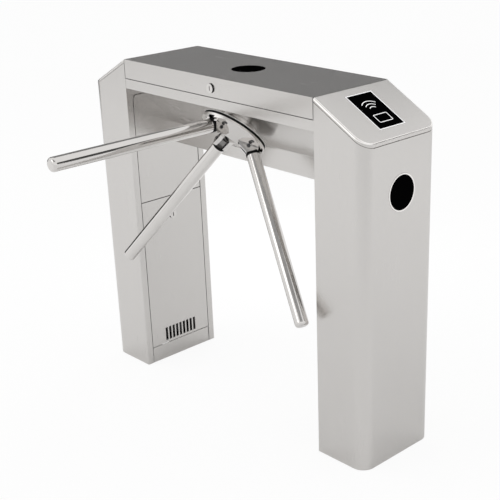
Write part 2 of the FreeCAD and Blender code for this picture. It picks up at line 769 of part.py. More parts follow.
def beam_bolt(side, index):
    y, z = BEAM_BOLTS[index]
    name = "beam_bolt_%s_%d" % ("right" if side > 0 else "left", index)
    head_x = inner_x - D.end_plate
    head = rod(name + "_head", (0, 0, -D.bolt_head_thick), D.bolt_head_radius, D.bolt_head_thick)
    grip = D.end_plate + D.sheet
    shank = rod(name + "_shank", (0, 0, 0), D.beam_bolt_radius, grip + D.bolt_head_thick)
    nut = rod(name + "_nut", (0, 0, grip), D.bolt_head_radius, D.bolt_head_thick)
    return place(fuse(name, head, shank, nut), side * head_x, y, z, turned_to_side(side))


def lid_cover():
    body = new_body("lid_cover")
    sheet = D.sheet
    profile = [(-half_depth, lid_bottom), (-half_depth, top_z), (half_depth, top_z),
               (half_depth, lid_rear_bottom), (inside_y, lid_rear_bottom), (inside_y, top_z - sheet),
               (-inside_y, top_z - sheet), (-inside_y, lid_bottom)]
    pad(body, outline(body, "lid_profile", "YZ_Plane", profile), 2 * (inner_x - D.seam), True)
    pocket(body, circles(body, "lid_lens_hole", "XY_Plane", [(0, 0)], D.top_lens_radius + D.fit))
    lock_place = [(0, top_z - D.lid_lock_drop)]
    lock_hole = circles(body, "lid_lock_hole", "XZ_Plane", lock_place, D.lock_radius + D.fit)
    pocket(body, lock_hole, 3 * half_depth)
    return node(body, "lid_cover")


def top_lens():
    under = top_z - D.sheet
    face = rod("top_lens_face", (0, 0, under), D.top_lens_radius, D.sheet - D.fit)
    lip = rod("top_lens_lip", (0, 0, under - D.lens_thick), D.top_lens_radius + D.lens_lap, D.lens_thick)
    lamp_start = under - D.lens_thick - D.top_lamp_depth
    lamp = rod("top_lens_lamp", (0, 0, lamp_start), D.top_lens_radius - D.lens_lap, D.top_lamp_depth)
    return node(fuse("top_lens_solid", face, lip, lamp), "top_lens")


# Lid hinge on the outside of the back panel

KNUCKLES = 5
hinge_y = half_depth + D.knuckle_radius + D.fit
hinge_z = lid_rear_bottom - D.seam / 2
hinge_half = inner_x - D.seam
knuckle_span = 2 * hinge_half / KNUCKLES
hinge_clear = D.knuckle_radius + D.knuckle_gap
ALONG_BEAM = FreeCAD.Rotation(Y_AXIS, 90)


def hinge_leaf(label, up, knuckles):
    """Leaf above (up = 1) or below (up = -1) the pin, with its own knuckles."""
    def strip(name, x0, x1, z0, z1):
        low, high = (z0, z1) if up > 0 else (z1, z0)
        return box(name, (x0, half_depth, hinge_z + up * low),
                   (x1, half_depth + D.hinge_leaf, hinge_z + up * high))

    pieces = [strip(label + "_strip", -hinge_half, hinge_half,
                    hinge_clear, hinge_clear + D.hinge_leaf_height)]
    for k in knuckles:
        start = knuckle_span * k - hinge_half + D.knuckle_gap / 2
        end = knuckle_span * (k + 1) - hinge_half - D.knuckle_gap / 2
        pieces.append(strip("%s_tab_%d" % (label, k), start, end, D.seam / 2, hinge_clear + D.hinge_leaf))
        pieces.append(rod("%s_knuckle_%d" % (label, k), (start, hinge_y, hinge_z),
                          D.knuckle_radius, end - start, ALONG_BEAM))
    bore = rod(label + "_bore", (-inner_x, hinge_y, hinge_z),
               D.hinge_pin_radius + D.hinge_gap, 2 * inner_x, ALONG_BEAM)
    return node(cut(label + "_cut", fuse(label + "_solid", *pieces), bore), label)


def lid_hinge_pin():
    start = (-hinge_half, hinge_y, hinge_z)
    pin = rod("lid_hinge_pin", start, D.hinge_pin_radius, 2 * hinge_half, ALONG_BEAM)
    return node(pin, "lid_hinge_pin")


# Hub frame: origin where the hub axis meets the underside, own Z out along the axis, own Y
# up the underside, own X along the beam

hub_y = slope_top_y + D.axis_offset * HALF_TURN
hub_z = rail_bottom - D.axis_offset * HALF_TURN
HUB_TURN = FreeCAD.Rotation(X_AXIS, 135)


def on_hub(piece, x=0, y=0, z=0, turn=None):
    rotation = HUB_TURN.multiply(turn) if turn else HUB_TURN
    x, y, z = as_size(x), as_size(y), as_size(z)
    return place(piece, x, hub_y - (y + z) * HALF_TURN, hub_z + (y - z) * HALF_TURN, rotation)


def on_arm(piece, angle, along, turn=None, lift=0):
    """Sets a piece's own Z axis along an arm, its origin at this distance from the meeting point."""
    spin = FreeCAD.Rotation(Z_AXIS, -angle)
    lean = FreeCAD.Rotation(X_AXIS, -45)
    rotation = spin.multiply(lean)
    if turn:
        rotation = rotation.multiply(turn)
    out = spin.multVec(Y_AXIS)
    radius = (as_size(along) - lift) * HALF_TURN
    height = (as_size(along) + lift) * HALF_TURN - D.apex_depth
    return on_hub(piece, radius * out.x, radius * out.y, height, rotation)


plate_start = D.shroud_height + D.hub_gap
gasket_start = plate_start + D.hub_plate
casting_start = gasket_start + D.gasket_thick
casting_front = casting_start + D.hub_flange
tube_start = D.arm_face + D.collar_length
tube_bore = D.arm_radius - D.arm_wall
spigot_radius = tube_bore - D.fit
screw_hole = D.screw_radius + D.fit
mech_back = -D.sheet - D.mech_plate
housing_back = mech_back - D.housing_flange_thick
wheel_front = housing_back - D.wheel_gap
wheel_back = wheel_front - D.wheel_thick
sensor_disc_front = wheel_back - D.sensor_disc_gap
nut_front = wheel_back - D.sensor_boss_length
nut_back = nut_front - D.nut_thick
bridge_front = nut_back - D.bridge_gap
bridge_back = bridge_front - D.bridge_thick
damper_back = bridge_back - D.damper_length
shaft_end = damper_back - D.shaft_tail
pawl_front = wheel_front - D.wheel_thick / 2 + D.pawl_thick / 2


def rim_screw_places():
    """The two rim screws of the facet between the front and right arms, in the hub's own XY plane."""
    lean = 3 ** 0.5 / 2
    return [(D.screw_out * lean + sign * D.screw_side * 0.5, D.screw_out * 0.5 - sign * D.screw_side * lean)
            for sign in (-1, 1)]


def hub_disc(label, start, thickness, radius, bore):
    body = new_body(label)
    pad(body, circles(body, label + "_disc", "XY_Plane", [(0, 0)], radius), thickness)
    pocket(body, circles(body, label + "_bore", "XY_Plane", [(0, 0)], bore))
    screws = circles(body, label + "_screws", "XY_Plane", rim_screw_places(), screw_hole)
    polar(body, label + "_pattern", [pocket(body, screws)], len(ARM_ANGLES))
    on_hub(body, z=start)
    return node(body, label)


def triangle(inradius):
    """Triangle whose sides face between the arms."""
    height = 3 ** 0.5
    return [(0, 2 * inradius), (inradius * height, -inradius), (-inradius * height, -inradius)]


def hub_casting():
    label = "hub_casting"
    body = new_body(label)
    flange = D.hub_flange
    pad(body, circles(body, label + "_rim", "XY_Plane", [(0, 0)], D.hub_radius), flange)
    facets = body.newObject("PartDesign::AdditiveLoft", label + "_facets")
    facets.Profile = outline(body, label + "_low", "XY_Plane", triangle(D.hub_radius - D.hub_rim), flange)
    facets.Sections = [outline(body, label + "_high", "XY_Plane", triangle(D.hub_core), flange + D.hub_rise)]
    facets.Ruled = True
    lift = D.apex_depth + casting_start
    face = D.arm_face * 2 ** 0.5 - lift
    nose = D.ear_reach - D.ear_lift
    heel = D.ear_heel_radius - D.ear_lift / 2
    ear = outline(body, label + "_ear", "YZ_Plane", [
        (heel, flange / 2), (D.ear_reach, flange / 2), (D.ear_reach, face - D.ear_reach), (nose, face - nose),
        (D.ear_heel_radius, flange + D.ear_heel_height), (heel, flange + D.hub_rise / 2)])
    ear_pad = pad(body, ear, 2 * D.ear_half, True)
    doc.recompute()
    polar(body, label + "_ears", [ear_pad], len(ARM_ANGLES))
    trim = new_sketch(body, label + "_trim", "XY_Plane")
    add_circle(trim, 0, 0, D.hub_radius)
    add_circle(trim, 0, 0, 3 * D.hub_radius)
    pocket(body, trim)
    floor = flange + D.slot_floor
    far = 2 * D.hub_radius
    slot = rectangle(body, label + "_slot", "YZ_Plane", D.slot_start, floor, far, far)
    polar(body, label + "_slots", [pocket(body, slot, 2 * D.slot_half)], len(ARM_ANGLES))
    cross_along = D.arm_face - D.cross_place
    cross_at = ((cross_along - D.cross_lift) * HALF_TURN, (cross_along + D.cross_lift) * HALF_TURN - lift)
    cross = circles(body, label + "_cross", "YZ_Plane", [cross_at], screw_hole)
    polar(body, label + "_crosses", [pocket(body, cross, 4 * D.ear_half)], len(ARM_ANGLES))
    holes = circles(body, label + "_holes", "XY_Plane", rim_screw_places(), screw_hole)
    polar(body, label + "_pattern", [pocket(body, holes)], len(ARM_ANGLES))
    seats = circles(body, label + "_seats", "XY_Plane", rim_screw_places(),
                    D.screw_head_radius + D.fit, flange + D.screw_seat)
    seat = pocket(body, seats, D.hub_rise, both_ways=False, backwards=True)
    polar(body, label + "_seat_pattern", [seat], len(ARM_ANGLES))
    on_hub(body, z=casting_start)
    return node(body, label)


def arm_tube(name, angle):
    length = D.arm_reach - D.arm_tip - tube_start
    label = name + "_arm_tube"
    outer = rod(label + "_outer", (0, 0, 0), D.arm_radius, length)
    inner = rod(label + "_inner", (0, 0, 0), tube_bore, length)
    return node(on_arm(cut(label + "_cut", outer, inner), angle, tube_start), label)


def arm_end_cap(name, angle):
    label = name + "_arm_end_cap"
    body = new_body(label)
    pad(body, circles(body, label + "_face", "XY_Plane", [(0, 0)], D.arm_radius), D.arm_tip)
    tip = D.arm_tip.value

    def outer_rim(edge):
        return edge.BoundBox.ZLength < 1e-6 and abs(edge.BoundBox.ZMax - tip) < 1e-4

    round_edges(body, label + "_round", outer_rim, D.arm_tip_round)
    plug = circles(body, label + "_plug", "XY_Plane", [(0, 0)], tube_bore - D.fit)
    pad(body, plug, D.arm_plug, backwards=True)
    return on_arm(body, angle, D.arm_reach - D.arm_tip)


def arm_neck(name, angle):
    label = name + "_arm_neck"
    wide = D.slot_half - D.neck_gap
    flat = box(label + "_flat", (-wide, -D.neck_half, -D.neck_length), (wide, D.neck_half, 0))
    spigot = rod(label + "_spigot", (0, 0, 0), spigot_radius, D.spigot_length)
    start = (-2 * wide, -D.cross_lift, -D.cross_place)
    across = rod(label + "_across", start, screw_hole, 4 * wide, ALONG_BEAM)
    return on_arm(cut(label, fuse(label + "_solid", flat, spigot), across), angle, D.arm_face)


def arm_collar(name, angle):
    label = name + "_arm_collar"
    outer = rod(label + "_outer", (0, 0, 0), D.arm_radius + D.collar_lip, D.collar_length)
    inner = rod(label + "_inner", (0, 0, 0), tube_bore, D.collar_length)
    return on_arm(cut(label, outer, inner), angle, D.arm_face)


def hub_screw(name, head_thick, length):
    """Screw along its own Z axis with its seat at the origin."""
    head = rod(name + "_head", (0, 0, 0), D.screw_head_radius, head_thick)
    shank = rod(name + "_shank", (0, 0, -length), D.screw_radius, length + head_thick)
    return fuse(name, head, shank)


def hub_screws():
    screws = []
    seat = casting_front + D.screw_seat
    grip = seat - plate_start
    for name, angle in ARM_ANGLES:
        turn = FreeCAD.Rotation(Z_AXIS, -angle)
        for i, (x, y) in enumerate(rim_screw_places()):
            screw = hub_screw("%s_rim_screw_%d" % (name, i), D.screw_head_thick, grip)
            across = turn.multVec(X_AXIS)
            up = turn.multVec(Y_AXIS)
            screws.append(on_hub(screw, x * across.x + y * up.x, x * across.y + y * up.y, seat))
        for side in (-1, 1):
            label = "%s_cross_screw_%s" % (name, "right" if side > 0 else "left")
            head = rod(label + "_head", (0, 0, D.ear_half), D.screw_head_radius, D.cross_head_thick)
            shank_start = D.slot_half / 2
            shank = rod(label + "_shank", (0, 0, shank_start), D.screw_radius,
                        D.ear_half - shank_start + D.cross_head_thick)
            screw = fuse(label, head, shank)
            along = D.arm_face - D.cross_place
            screws.append(on_arm(screw, angle, along, turned_to_side(side), D.cross_lift))
    return node(group("hub_screw_set", *screws), "hub_screws")


def hub_ring(name, outer, inner, start, end):
    """Ring round the hub axis between two heights."""
    ring = cut(name + "_ring", rod(name + "_outer", (0, 0, 0), outer, end - start),
               rod(name + "_inner", (0, 0, 0), inner, end - start))
    return on_hub(ring, z=start)


def hub_shroud():
    """Boss on the underside round the bearing housing's nose."""
    boss = hub_ring("shroud", D.shroud_radius, D.housing_radius + D.fit, as_size(0), D.shroud_height)
    return node(boss, "hub_shroud")


# Mechanism inside the beam

def mech_plate():
    plate = box("mech_plate_slab", (-D.mech_length / 2, -D.mech_down, mech_back),
                (D.mech_length / 2, D.mech_up, -D.sheet))
    bore = rod("mech_plate_bore", (0, 0, 2 * mech_back), D.housing_radius + D.fit, -2 * mech_back)
    return node(on_hub(cut("mech_plate_cut", plate, bore)), "mech_plate")


def bearing_housing():
    nose_front = D.shroud_height - D.hub_gap / 2
    flange = rod("housing_flange", (0, 0, housing_back), D.housing_flange, D.housing_flange_thick)
    nose = rod("housing_nose", (0, 0, housing_back), D.housing_radius, nose_front - housing_back)
    pocket_depth = D.bearing_width + D.bearing_recess
    front = rod("housing_front_pocket", (0, 0, nose_front - pocket_depth), D.bearing_outer, pocket_depth)
    rear = rod("housing_rear_pocket", (0, 0, housing_back), D.bearing_outer, pocket_depth)
    through_radius = D.bearing_outer - 2 * D.bearing_groove
    through = rod("housing_through", (0, 0, housing_back), through_radius, nose_front - housing_back)
    solid = fuse("housing_solid", flange, nose)
    return node(on_hub(cut("housing_cut", solid, front, rear, through)), "bearing_housing")


def bearing(label, start):
    """Bearing with a groove between its two rings on both faces."""
    middle = (D.bearing_outer + D.shaft_radius) / 2
    outer = rod(label + "_outer", (0, 0, 0), D.bearing_outer, D.bearing_width)
    bore = rod(label + "_bore", (0, 0, 0), D.shaft_radius + D.running_gap, D.bearing_width)
    cuts = [bore]
    for name, z in (("_rear_groove", 0), ("_front_groove", D.bearing_width - D.bearing_groove)):
        wide = rod(label + name + "_wide", (0, 0, z), middle + D.bearing_groove, D.bearing_groove)
        narrow = rod(label + name + "_narrow", (0, 0, z), middle - D.bearing_groove, D.bearing_groove)
        cuts.append(cut(label + name, wide, narrow))
    return node(on_hub(cut(label + "_cut", outer, *cuts), z=start), label)


def main_shaft():
    shaft = rod("shaft_bar", (0, 0, shaft_end), D.shaft_radius, gasket_start - shaft_end)
    flange_start = plate_start - D.shaft_flange_thick
    flange = rod("shaft_flange", (0, 0, flange_start), D.shaft_flange, D.shaft_flange_thick)
    return node(on_hub(fuse("shaft_solid", shaft, flange)), "main_shaft")


def index_wheel():
    body = new_body("index_wheel")
    pad(body, circles(body, "wheel_disc", "XY_Plane", [(0, 0)], D.wheel_radius), D.wheel_thick)
    lug = rectangle(body, "wheel_lug", "XY_Plane", -D.lug_half, 0, D.lug_half, D.lug_radius)
    lug_pad = pad(body, lug, D.wheel_thick)
    doc.recompute()
    polar(body, "wheel_lugs", [lug_pad], len(ARM_ANGLES))
    pocket(body, circles(body, "wheel_bore", "XY_Plane", [(0, 0)], D.shaft_radius))
    on_hub(body, z=wheel_back)
    return node(body, "index_wheel")


def sensor_disc():
    body = new_body("sensor_disc")
    boss = circles(body, "sensor_boss", "XY_Plane", [(0, 0)], D.sensor_boss_radius)
    pad(body, boss, D.sensor_boss_length)
    plate = circles(body, "sensor_plate", "XY_Plane", [(0, 0)], D.sensor_disc_radius,
                    D.sensor_boss_length - D.sensor_disc_gap - D.sensor_disc_thick)
    pad(body, plate, D.sensor_disc_thick)
    half = D.sensor_notch / 2
    notch = rectangle(body, "sensor_notch", "XY_Plane", -half, D.sensor_disc_radius - D.sensor_notch,
                      half, D.sensor_disc_radius + half)
    polar(body, "sensor_notches", [pocket(body, notch)], len(ARM_ANGLES))
    pocket(body, circles(body, "sensor_bore", "XY_Plane", [(0, 0)], D.shaft_radius))
    on_hub(body, z=nut_front)
    return node(body, "sensor_disc")


def shaft_nut():
    body = new_body("shaft_nut")
    half, tall = D.nut_radius / 2, D.nut_radius * 3 ** 0.5 / 2
    hexagon = [(D.nut_radius, 0), (half, tall), (-half, tall),
               (-D.nut_radius, 0), (-half, -tall), (half, -tall)]
    pad(body, outline(body, "nut_hexagon", "XY_Plane", hexagon), D.nut_thick)
    pocket(body, circles(body, "nut_bore", "XY_Plane", [(0, 0)], D.shaft_radius))
    on_hub(body, z=nut_back)
    return node(body, "shaft_nut")


def damper_bridge():
    wide = D.pillar_side + 2 * D.pillar_radius
    tall = D.pillar_up + D.pillar_radius
    pieces = [box("bridge_plate", (-wide, -tall, bridge_back), (wide, tall, bridge_front))]
    for side, name in SIDES:
        for up, level in ((-1, "lower"), (1, "upper")):
            base = (side * D.pillar_side, up * D.pillar_up, bridge_back)
            pillar = "bridge_pillar_%s_%s" % (level, name)
            pieces.append(rod(pillar, base, D.pillar_radius, mech_back - bridge_back))
    bore = rod("bridge_bore", (0, 0, bridge_back), D.sensor_boss_radius, D.bridge_thick)
    return node(on_hub(cut("bridge_cut", fuse("bridge_solid", *pieces), bore)), "damper_bridge")


def pawl(side, label):
    body = new_body(label)
    pivot = (side * D.pawl_pivot_side, -D.pawl_pivot_down)
    near, far = D.pawl_pivot_side - D.pawl_half, D.pawl_pivot_side + D.pawl_half
    nose_x = D.lug_radius + D.pawl_clear
    half = D.pawl_nose_half
    lever = [(side * near, -D.pawl_pivot_down), (side * near, -half), (side * nose_x, -half),
             (side * nose_x, half), (side * far, half), (side * far, -D.pawl_pivot_down)]
    pad(body, outline(body, label + "_lever", "XY_Plane", lever), D.pawl_thick)
    pad(body, circles(body, label + "_boss", "XY_Plane", [pivot], D.pin_shoulder), D.pawl_thick)
    bore = circles(body, label + "_bore", "XY_Plane", [pivot], D.pin_radius + D.running_gap)
    pocket(body, bore)
    on_hub(body, z=pawl_front - D.pawl_thick)
    return node(body, label)


def pawl_pin(side, name):
    x, y = side * D.pawl_pivot_side, -D.pawl_pivot_down
    shoulder_end = pawl_front + D.pawl_float
    head_start = pawl_front - D.pawl_thick - D.pawl_float
    shoulder = rod(name + "_shoulder", (x, y, shoulder_end), D.pin_shoulder, mech_back - shoulder_end)
    pin_end = head_start - D.pin_head
    pin = rod(name + "_pin", (x, y, pin_end), D.pin_radius, mech_back - pin_end)
    head = rod(name + "_head", (x, y, pin_end), D.pin_shoulder, D.pin_head)
    return on_hub(fuse(name, shoulder, pin, head))


pawl_middle = pawl_front - D.pawl_thick / 2
pawl_back_x = D.pawl_pivot_side + D.pawl_half
solenoid_near = pawl_back_x + D.solenoid_start


def solenoid(side, name):
    far = solenoid_near + D.solenoid_length
    low_x, high_x = (solenoid_near, far) if side > 0 else (-far, -solenoid_near)
    depth = 2 * pawl_middle - mech_back
    case = box(name + "_case", (low_x, -D.plunger_low - D.solenoid_half, depth),
               (high_x, D.solenoid_half - D.plunger_low, mech_back))
    bore = rod(name + "_bore", (low_x, -D.plunger_low, pawl_middle), D.plunger_radius + D.fit,
               D.solenoid_length, ALONG_BEAM)
    return on_hub(cut(name, case, bore))


def plunger(side, label):
    tip = pawl_back_x + D.plunger_gap
    turn = turned_to_side(side)
    nose = rod(label + "_nose", (0, 0, 0), D.plunger_nose, D.plunger_nose_length)
    bar = rod(label + "_bar", (0, 0, D.plunger_nose_length), D.plunger_radius, D.plunger_length)
    piece = fuse(label + "_solid", nose, bar)
    return node(on_hub(piece, side * tip, -D.plunger_low, pawl_middle, turn), label)


def position_sensor():
    half = D.fork_half
    out = D.fork_out
    reach = D.sensor_disc_radius - D.fork_reach
    front = sensor_disc_front + D.fork_gap
    rear = sensor_disc_front - D.sensor_disc_thick - D.fork_gap - D.fork_prong
    column = box("fork_column", (-half, -out - D.fork_column, rear), (half, -out, mech_back))
    upper = box("fork_upper", (-half, -out, front), (half, -reach, front + D.fork_prong))
    lower = box("fork_lower", (-half, -out, rear), (half, -reach, rear + D.fork_prong))
    return node(on_hub(fuse("fork_solid", column, upper, lower)), "position_sensor")


def control_board():
    face = inside_y - D.board_standoff
    low_z = beam_floor + D.board_rise
    high_z = low_z + D.board_height
    near, far = -D.board_place, -D.board_place - D.board_length
    board = box("board_sheet", (far, face - D.board_thick, low_z), (near, face, high_z))
    inset = D.chip_height
    pieces = [board]
    upright = FreeCAD.Rotation(X_AXIS, -90)
    for i, x in enumerate((far + inset, near - inset)):
        for j, z in enumerate((low_z + inset, high_z - inset)):
            pieces.append(rod("board_standoff_%d%d" % (i, j), (x, face, z), D.board_thick * 2,
                              D.board_standoff, upright))
    front = face - D.board_thick
    step = D.board_length / 4
    for i in range(3):
        start = far + step * i + inset * 1.5
        pieces.append(box("board_block_%d" % i, (start, front - D.chip_height, low_z + 2 * inset),
                          (start + step - inset, front, high_z - (2 + i) * inset)))
    return node(fuse("board_solid", *pieces), "control_board")


# The whole turnstile

for side, name in SIDES:
    leg_shell(side, name + "_leg_shell")
    head_cap(side, name + "_head_cap")
    base_plate(side, name + "_base_plate")
    upper_panel(side, name + "_upper_panel")
    door(side, name + "_door")
    door_lock = key_lock(name + "_door_lock", D.door_cam_length, False)
    place(door_lock, side * inner_x, 0, door_lock_z, turned_to_side(-side))

node(group("plinth_pair", *[plinth(side, name + "_plinth") for side, name in SIDES]), "plinth_panels")
node(group("window_pair", *[reader_window(side, name + "_window") for side, name in SIDES]), "reader_windows")
node(group("module_pair", *[reader_module(side, name + "_module") for side, name in SIDES]), "reader_modules")
node(group("lens_pair", *[end_lens(side, name + "_lens") for side, name in SIDES]), "end_lenses")
node(group("ring_pair", *[end_ring(side, name + "_ring") for side, name in SIDES]), "end_lens_rings")
node(group("lamp_pair", *[lamp_housing(side, name + "_lamp") for side, name in SIDES]), "lamp_housings")
end_plates = [end_plate(side, name + "_end_plate") for side, name in SIDES]
node(group("end_plate_pair", *end_plates), "beam_end_plates")
beam_bolts = [beam_bolt(side, i) for side, name in SIDES for i in range(len(BEAM_BOLTS))]
node(group("beam_bolt_set", *beam_bolts), "beam_bolts")

beam_tray()
back = box("beam_back", (-inner_x, inside_y, beam_bottom), (inner_x, half_depth, lid_rear_bottom - D.seam))
node(back, "beam_back_panel")
lid_cover()
top_lens()
lid_lock = key_lock("lid_lock", D.lid_cam_length, True)
place(lid_lock, 0, -half_depth, top_z - D.lid_lock_drop, FreeCAD.Rotation(X_AXIS, 90))
hinge_leaf("lid_hinge_fixed_leaf", -1, range(0, KNUCKLES, 2))
hinge_leaf("lid_hinge_moving_leaf", 1, range(1, KNUCKLES, 2))
lid_hinge_pin()

hub_shroud()
hub_disc("hub_back_plate", plate_start, D.hub_plate, D.hub_radius, D.shaft_radius)
hub_disc("hub_gasket", gasket_start, D.gasket_thick, D.hub_radius - D.gasket_inset, D.shaft_radius)
hub_casting()
for name, angle in ARM_ANGLES:
    arm_tube(name, angle)
node(group("end_cap_set", *[arm_end_cap(*arm) for arm in ARM_ANGLES]), "arm_end_caps")
node(group("neck_set", *[arm_neck(*arm) for arm in ARM_ANGLES]), "arm_necks")
node(group("collar_set", *[arm_collar(*arm) for arm in ARM_ANGLES]), "arm_collars")
hub_screws()

mech_plate()
bearing_housing()
bearing("front_bearing", D.shroud_height - D.hub_gap / 2 - D.bearing_recess - D.bearing_width)
bearing("rear_bearing", housing_back + D.bearing_recess)
main_shaft()
index_wheel()
sensor_disc()
shaft_nut()
damper_bridge()
damper = hub_ring("damper", D.damper_radius, D.shaft_radius + D.running_gap, damper_back, bridge_back)
node(damper, "centring_damper")
for side, name in SIDES:
    pawl(side, name + "_pawl")
    plunger(side, name + "_plunger")
node(group("pin_pair", *[pawl_pin(side, name + "_pin") for side, name in SIDES]), "pawl_pins")
node(group("solenoid_pair", *[solenoid(side, name + "_solenoid") for side, name in SIDES]), "lock_solenoids")
position_sensor()
control_board()
supply = box("supply_case", (D.supply_place, inside_y - D.supply_width - D.sheet, beam_floor),
             (D.supply_place + D.supply_length, inside_y - D.sheet, beam_floor + D.supply_height))
node(supply, "power_supply")

doc.recompute()
for piece in doc.Objects:
    if "Invalid" in piece.State or "Error" in piece.State:
        raise RuntimeError("%s did not compute" % piece.Name)
for piece in NODES:
    if piece.Shape.isNull() or not piece.Shape.isValid() or piece.Shape.Volume <= 0:
        raise RuntimeError("%s has no sound shape" % piece.Label)

os.makedirs("parts", exist_ok=True)
for piece in NODES:
    piece.Shape.exportStep("parts/%s.step" % piece.Label)
print("%d nodes, %d solids" % (len(NODES), sum(len(piece.Shape.Solids) for piece in NODES)))
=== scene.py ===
# %% [markdown]
# # A tripod turnstile in brushed steel
# The CAD model gives every piece at its real size and place. This lesson dresses it: folded sheet gets soft
# bends, the arms and the hub get a polish, the lamps and the reader get dark acrylic, and a plain studio
# lights it all.

# %% Load the frame
import json
import math

import bmesh
import bpy
from mathutils import Matrix, Quaternion, Vector


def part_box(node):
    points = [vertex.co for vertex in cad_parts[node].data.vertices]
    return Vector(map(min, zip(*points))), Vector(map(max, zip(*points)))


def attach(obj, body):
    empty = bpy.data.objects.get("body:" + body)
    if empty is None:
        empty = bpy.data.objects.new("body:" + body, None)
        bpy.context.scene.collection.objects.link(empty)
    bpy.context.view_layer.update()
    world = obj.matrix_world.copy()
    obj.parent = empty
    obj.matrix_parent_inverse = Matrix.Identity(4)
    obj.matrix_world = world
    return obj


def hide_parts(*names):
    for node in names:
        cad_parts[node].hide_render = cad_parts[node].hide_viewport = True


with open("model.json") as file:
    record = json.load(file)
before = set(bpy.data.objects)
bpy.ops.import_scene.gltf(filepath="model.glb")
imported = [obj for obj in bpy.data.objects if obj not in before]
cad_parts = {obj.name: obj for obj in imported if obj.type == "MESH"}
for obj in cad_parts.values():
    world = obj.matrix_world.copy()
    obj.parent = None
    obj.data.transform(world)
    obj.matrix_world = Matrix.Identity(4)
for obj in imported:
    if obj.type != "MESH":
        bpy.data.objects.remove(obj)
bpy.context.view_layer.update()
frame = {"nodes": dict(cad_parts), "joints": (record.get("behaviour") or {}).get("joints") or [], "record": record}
MM = 0.001

# %% [markdown]
# ## The hub's own axes
# The hub turns on an axis tilted 45 degrees forward and down. The joint in the record holds that axis, so
# the pieces of the hub are built upright around Z and then set on it with one matrix. The arms all start
# from one point on it.

# %% Hub and arm places
spin = [joint for joint in frame["joints"] if joint["name"] == "tripod_spin"][0]
hub_axis = Vector(spin["axis"])
hub_place = Vector(spin["pos_m"])
across = Vector((1, 0, 0))
HUB = Matrix((across, hub_axis.cross(across), hub_axis)).transposed().to_4x4()
HUB.translation = hub_place
APEX_DEPTH = 16.3 * MM
ARM_LEAN = math.radians(45)
ARMS = {"front": 0, "right": -120, "left": 120}


def arm_place(degrees):
    """Matrix that stands an upright piece on an arm, measured from where the arm axes meet."""
    apex = Matrix.Translation((0, 0, -APEX_DEPTH))
    turn = Matrix.Rotation(math.radians(degrees), 4, "Z")
    lean = Matrix.Rotation(-ARM_LEAN, 4, "X")
    return HUB @ apex @ turn @ lean


print("hub axis", tuple(round(v, 3) for v in hub_axis), "through", tuple(round(v, 4) for v in hub_place))

# %% [markdown]
# ## Shader maths as plain expressions
# A material is easier to read when its maths looks like maths. A small class wraps a socket, so `lines*0.5`
# adds a Math node by itself. One method makes every other node: its settings come first, then its sockets.

# %% Shader helpers


class Value:
    """A number that changes over a surface, with the usual operators."""

    def __init__(self, finish, socket):
        self.finish = finish
        self.socket = socket

    def maths(self, operation, first, second):
        node = self.finish.node("Math", {"operation": operation}, {0: first, 1: second})
        return Value(self.finish, node.outputs[0])

    def __add__(self, other):
        return self.maths("ADD", self, other)

    def __radd__(self, other):
        return self.maths("ADD", other, self)

    def __mul__(self, other):
        return self.maths("MULTIPLY", self, other)

    def __rmul__(self, other):
        return self.maths("MULTIPLY", other, self)


class Finish:
    """One material with its Principled shader."""

    def __init__(self, name, **constants):
        self.material = bpy.data.materials.new(name)
        self.material.use_nodes = True
        self.tree = self.material.node_tree
        self.shader = self.tree.nodes["Principled BSDF"]
        for socket, value in constants.items():
            self.shader.inputs[socket.replace("_", " ")].default_value = value

    def node(self, kind, settings=None, sockets=None):
        node = self.tree.nodes.new("ShaderNode" + kind)
        for name, value in (settings or {}).items():
            setattr(node, name, value)
        for name, value in (sockets or {}).items():
            self.feed(node.inputs[name], value)
        return node

    def feed(self, socket, value):
        if isinstance(value, Value):
            self.tree.links.new(value.socket, socket)
        elif isinstance(value, bpy.types.NodeSocket):
            self.tree.links.new(value, socket)
        else:
            socket.default_value = value

    def set(self, socket, value):
        self.feed(self.shader.inputs[socket], value)

    def noise(self, scale, stretch=(1, 1, 1), detail=2.0):
        """Noise on the object's own coordinates; a small stretch draws the pattern out along that axis."""
        place = self.node("TexCoord").outputs["Object"]
        mapped = self.node("Mapping", sockets={"Vector": place, "Scale": stretch})
        sockets = {"Vector": mapped.outputs["Vector"], "Scale": scale, "Detail": detail}
        return Value(self, self.node("TexNoise", sockets=sockets).outputs["Fac"])

    def mix(self, factor, first, second):
        """Colour between two colours."""
        node = self.node("Mix", {"data_type": "RGBA"}, {"Factor": factor, 6: first, 7: second})
        return node.outputs[2]

    def bump(self, height, strength, distance):
        node = self.node("Bump", sockets={"Height": height, "Strength": strength, "Distance": distance})
        self.set("Normal", node.outputs["Normal"])


def grey(level, warmth=0.0):
    """Linear colour of a grey, a little warm if asked for."""
    return (level * (1 + warmth), level, level * (1 - warmth), 1.0)


def around(level, *parts):
    """Value that varies about a level: each part is a pattern and how far it swings."""
    total = level - sum(swing for pattern, swing in parts) / 2
    for pattern, swing in parts:
        total = pattern * swing + total
    return total


# %% [markdown]
# ## Brushed and polished steel
# The casing is satin stainless sheet. Brushing leaves fine lines in one direction: along the sheet of a leg
# they run upright, along the beam they run lengthwise. The lines change the roughness and tilt the surface
# a little. Cloudy patches stand for handling. The arms and hub are polished, so they are smoother and keep
# only faint turning marks.

# %% Steel finishes
WARMTH = 0.026
DARKEST, SHEET_LIGHTEST, POLISH_LIGHTEST = 0.94, 1.05, 1.04
SHEET_SCRATCH, POLISH_SCRATCH, SCRATCH_DEPTH = 0.045, 0.04, 0.00005
LINE_SCALE, LINE_DRAW = 900, 0.02
BAND_SCALE, BAND_DRAW = 160, 0.015
CLOUD_SCALE = 5
MARK_SCALE = 420
STAIN_SCALE = 14


def drawn_out(along, share):
    """Noise stretch that draws a pattern out along one axis."""
    return [share if axis == along else 1.0 for axis in "XYZ"]


